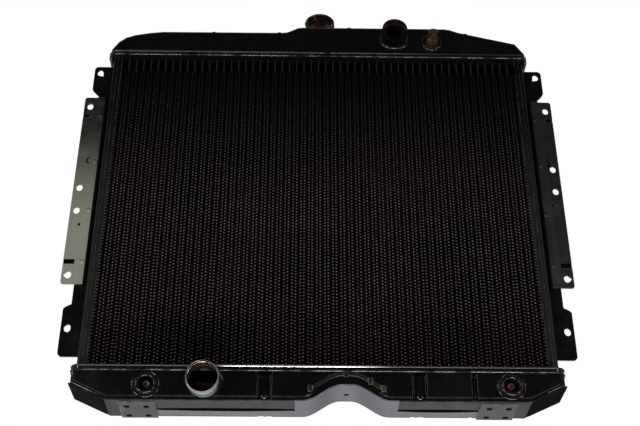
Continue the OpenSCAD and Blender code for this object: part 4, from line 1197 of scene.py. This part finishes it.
def flange(side):
    """The long angle behind the plate, with a tab and its hole at each end."""
    near, far = flange_low.x, flange_high.x
    low, high = flange_low.z, flange_high.z
    waist = HOLE_X - 0.0094
    outline = ([(near, low)] + arc((far - 0.006, low + 0.006), 0.006, -90, 0, 4)
               + [(far, TAB_HOLES[0] + 0.029), (far - 0.003, TAB_HOLES[0] + 0.032),
                  (waist, TAB_HOLES[0] + 0.036), (waist, TAB_HOLES[1] - 0.044),
                  (far - 0.002, TAB_HOLES[1] - 0.035), (far, TAB_HOLES[1] - 0.031)]
               + arc((far - 0.006, high - 0.006), 0.006, 0, 90, 4) + [(near, high)])
    holes = [round_hole(TAB_X, TAB_HOLES[0]), pointed_hole(TAB_X, TAB_HOLES[1], 225)]
    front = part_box("side_flange_right")[0].y
    bm = punched(outline, holes, front, front + FLANGE_SHEET)
    spot = (near + FLANGE_SHEET / 2, (front + flange_high.y) / 2 + 0.001, (low + high) / 2)
    size = (FLANGE_SHEET, flange_high.y - front - 0.002, high - low)
    bmesh.ops.create_cube(bm, size=1, matrix=sized(spot, size))
    return for_side(bm, side)

for side, name in SIDES:
    piece("flange_" + name, flange(side), BLACK, ("side_flange_" + name,))
print("brackets made")

# %% [markdown]
# ## Vent cock
# A brass body with a hexagon stands in a soldered boss, and a winged stem turns in it. The
# hexagon is a six-sided cylinder with its edges rounded a little, so that each one holds a line of
# light. It is laid over the turned barrel, because the two are one solid in the real cock.

# %% Vent boss and body
def vent_boss():
    curve = [(0.0165, 0.0)] + arc((0.0135, 0.0012), 0.0028, 0, 90, 6) + [(0.0105, 0.0036),
             (0.0068, 0.0036), (0.0068, -0.001), (0.0165, -0.001), (0.0165, 0.0)]
    return turned(curve, (VENT.x, FACE, VENT.z), OUTWARD)

piece("vent_boss_ring", vent_boss(), BLACK, ("vent_boss",))

def vent_body():
    front = -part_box("vent_body")[0].y + FACE
    barrel = [(0.0038, -0.008), (0.0066, -0.008), (0.0066, 0.0125), (0.0056, 0.0132),
              (0.0060, 0.0140), (0.0060, front - 0.0012), (0.0052, front), (0.0038, front)]
    bm = turned(barrel + barrel[:1], (VENT.x, FACE, VENT.z), OUTWARD, 48)
    hexagon = rod((VENT.x, FACE - 0.004, VENT.z), 0.0102, 0.0088, OUTWARD, 6)
    round_edges(hexagon, hexagon.edges[:], 0.0006, 2)
    join(bm, hexagon)
    return bm

piece("vent_body_turned", vent_body(), BRASS, ("vent_body",))

# %% [markdown]
# ## Straps and rails under the tank
# Two strips of sheet run under the bottom tank and are bent up over its cut-off corners. A rail
# lies behind each. The two edges bow away from one another, so the black slot between them is a
# long lens; its walls are dull black, painted shade. The bent-up ends of each strap are dull black
# too, painted shade. The bends are rolled, not sharp, because strip of this gauge is folded over a
# rounded former.

# %% Straps and rails
SLOT = 0.0055
STRIP_THICK = 0.002
KNEE = HALF - CHAMFER[0]

def strap_line(start):
    """Outline of the bent strip, seen from the front: along the flat, then up the corner."""
    low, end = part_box("bottom_strap_right")
    inside = low.z + STRIP_THICK
    return [(start, low.z), (KNEE + 0.0005, low.z), (end.x, end.z - STRIP_THICK),
            (end.x - 0.0012, end.z), (KNEE, inside), (start, inside)]

def bowed(bm, edge_y, start, stop, reach):
    """Bows the edge at edge_y sideways between start and stop."""
    cut_loops(bm, [start + (stop - start) * k / 12 for k in range(13)])
    for v in bm.verts:
        along_edge = (v.co.x - start) / (stop - start)
        if abs(v.co.y - edge_y) < 0.0012 and 0 < along_edge < 1:
            v.co.y += reach * math.sin(math.pi * along_edge)

def shade_slot_walls(bm, front, back):
    """Gives the walls of the slot, which face along the depth, the second material: dull black, painted
    shade in the slot.
    """
    bm.normal_update()
    for face in bm.faces:
        if abs(face.normal.y) > 0.7 and front < face.calc_center_median().y < back:
            face.material_index = 1

def strap(side, start):
    """The bent strip, cut back where the rail lies behind it."""
    low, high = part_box("bottom_strap_right")
    bm = slab(strap_line(start), low.y, high.y)
    bends = [e for e in bm.edges if all(abs(abs(v.co.x) - KNEE) < 0.001 for v in e.verts)
             and abs(e.verts[0].co.y - e.verts[1].co.y) > 0.01]
    round_edges(bm, bends, 0.007, 6)
    rail_low, rail_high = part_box("bottom_rail_right")
    edge = rail_low.y - SLOT
    bm = cut_away(bm, [slab(rectangle(start - 0.01, rail_high.x, -0.01, 0.02), edge, 0.05)])
    bowed(bm, edge, start, rail_high.x, -0.0020)
    break_edges(bm)
    shade_slot_walls(bm, edge - 0.004, edge + 0.001)
    # Faces past the bend get the dull black: painted shade on the bent-up ends.
    for face in bm.faces:
        if face.calc_center_median().x > KNEE + 0.001:
            face.material_index = 1
    return for_side(bm, side)

def rail(side, start):
    low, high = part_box("bottom_rail_right")
    bm = slab(rectangle(start, high.x, low.z, high.z), low.y, high.y)
    bowed(bm, low.y, start, high.x, 0.0030)
    break_edges(bm)
    shade_slot_walls(bm, low.y - 0.001, low.y + 0.005)
    return for_side(bm, side)

for side, name in SIDES:
    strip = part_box("bottom_strap_" + name)
    start = -strip[1].x if side < 0 else strip[0].x
    piece("strap_" + name, strap(side, start), (STRAP, DULL), ("bottom_strap_" + name,))
    piece("rail_" + name, rail(side, start), (PALE, DULL), ("bottom_rail_" + name,))

# %% Corner rivets
RIVET_SPOTS = ((-0.0124, -0.0148), (0.0124, -0.0148), (-0.0124, 0.0148), (0.0124, 0.0148))

def corner_rivets():
    """Four dark rivet heads, sunk in the holes of each corner plate. Their dull black is partly painted
    shade in the holes.
    """
    bm = bmesh.new()
    for side, name in SIDES:
        centre = middle_of("corner_plate_" + name)
        for dx, dy in RIVET_SPOTS:
            spot = (centre.x + side * 0.0011 + dx, centre.y + 0.0022 + dy, 0.0004)
            bmesh.ops.create_cone(bm, cap_ends=True, segments=20, radius1=0.0038, radius2=0.0043,
                                  depth=0.0014, matrix=Matrix.Translation(spot))
    return bm

piece("corner_rivets", corner_rivets(), DULL)
print("straps made")

# %% [markdown]
# ## Lip over the arch
# A narrow band is brazed above the arch, with small clips over it. It follows the arch's own curve,
# so its outline is taken from the same arch function, raised by a fixed amount.

# %% Arch lip
LIP_HALF = 0.050
LIP_FRONT = FACE - 0.0012
LIP_CLIPS = (-0.047, -0.001, 0.030, 0.047)

def arch_lip():
    """The band with its front edges rounded, and a small block over it for each clip."""
    steps = [ARCH.x + LIP_HALF * (k / 12 - 1) for k in range(25)]
    lift = BOTTOM + 0.0105
    outline = ([(x, lift + arch_rise(x)) for x in steps]
               + [(x, lift + 0.0065 + arch_rise(x)) for x in reversed(steps)])
    bm = slab(outline, LIP_FRONT, FACE + 0.003)
    round_edges(bm, rim_edges(bm, LIP_FRONT, LIP_FRONT), 0.0010)
    for place in LIP_CLIPS:
        x = ARCH.x + place
        spot = (x, FACE - 0.0009, lift + 0.003 + arch_rise(x))
        made = bmesh.ops.create_cube(bm, size=1, matrix=sized(spot, (0.006, 0.002, 0.009)))
        edges = {e for v in made["verts"] for e in v.link_edges}
        round_edges(bm, list(edges), 0.0007, 2)
    return bm

piece("arch_lip", arch_lip(), OLIVE, ("arch_clips",))
print("arch lip made")

# %% [markdown]
# ## Parts that keep their shape
# The tubes, the side channels, the rivets and the small parts of the vent cock already have their
# full shape in the frame, so none of them is modelled again. Each gets its finish only. A part that
# is out of sight, such as the oil cooler in the bottom tank, gets the metal that it is made of.

# %% Frame parts that keep their shape
KEPT = {CHANNEL: ("side_channel_left", "side_channel_right"),
        GREEN: ("rivets_left",),
        SHADED_GREEN: ("rivets_right",),
        PALE: ("arch_saddle", "corner_plate_left", "corner_plate_right"),
        TUBE: ("tubes_front", "tubes_middle", "tubes_rear"),
        COPPER: ("top_baffle", "cooler_shell", "port_washers"),
        BRASS: ("filler_seat", "overflow_nipple", "vent_plug", "vent_clip"),
        STEEL: ("vent_spring", "cooler_turbulator")}

for material, names in KEPT.items():
    for name in names:
        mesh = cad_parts[name].data
        mesh.materials.clear()
        mesh.materials.append(material)
print("kept parts finished:", sum(len(names) for names in KEPT.values()))
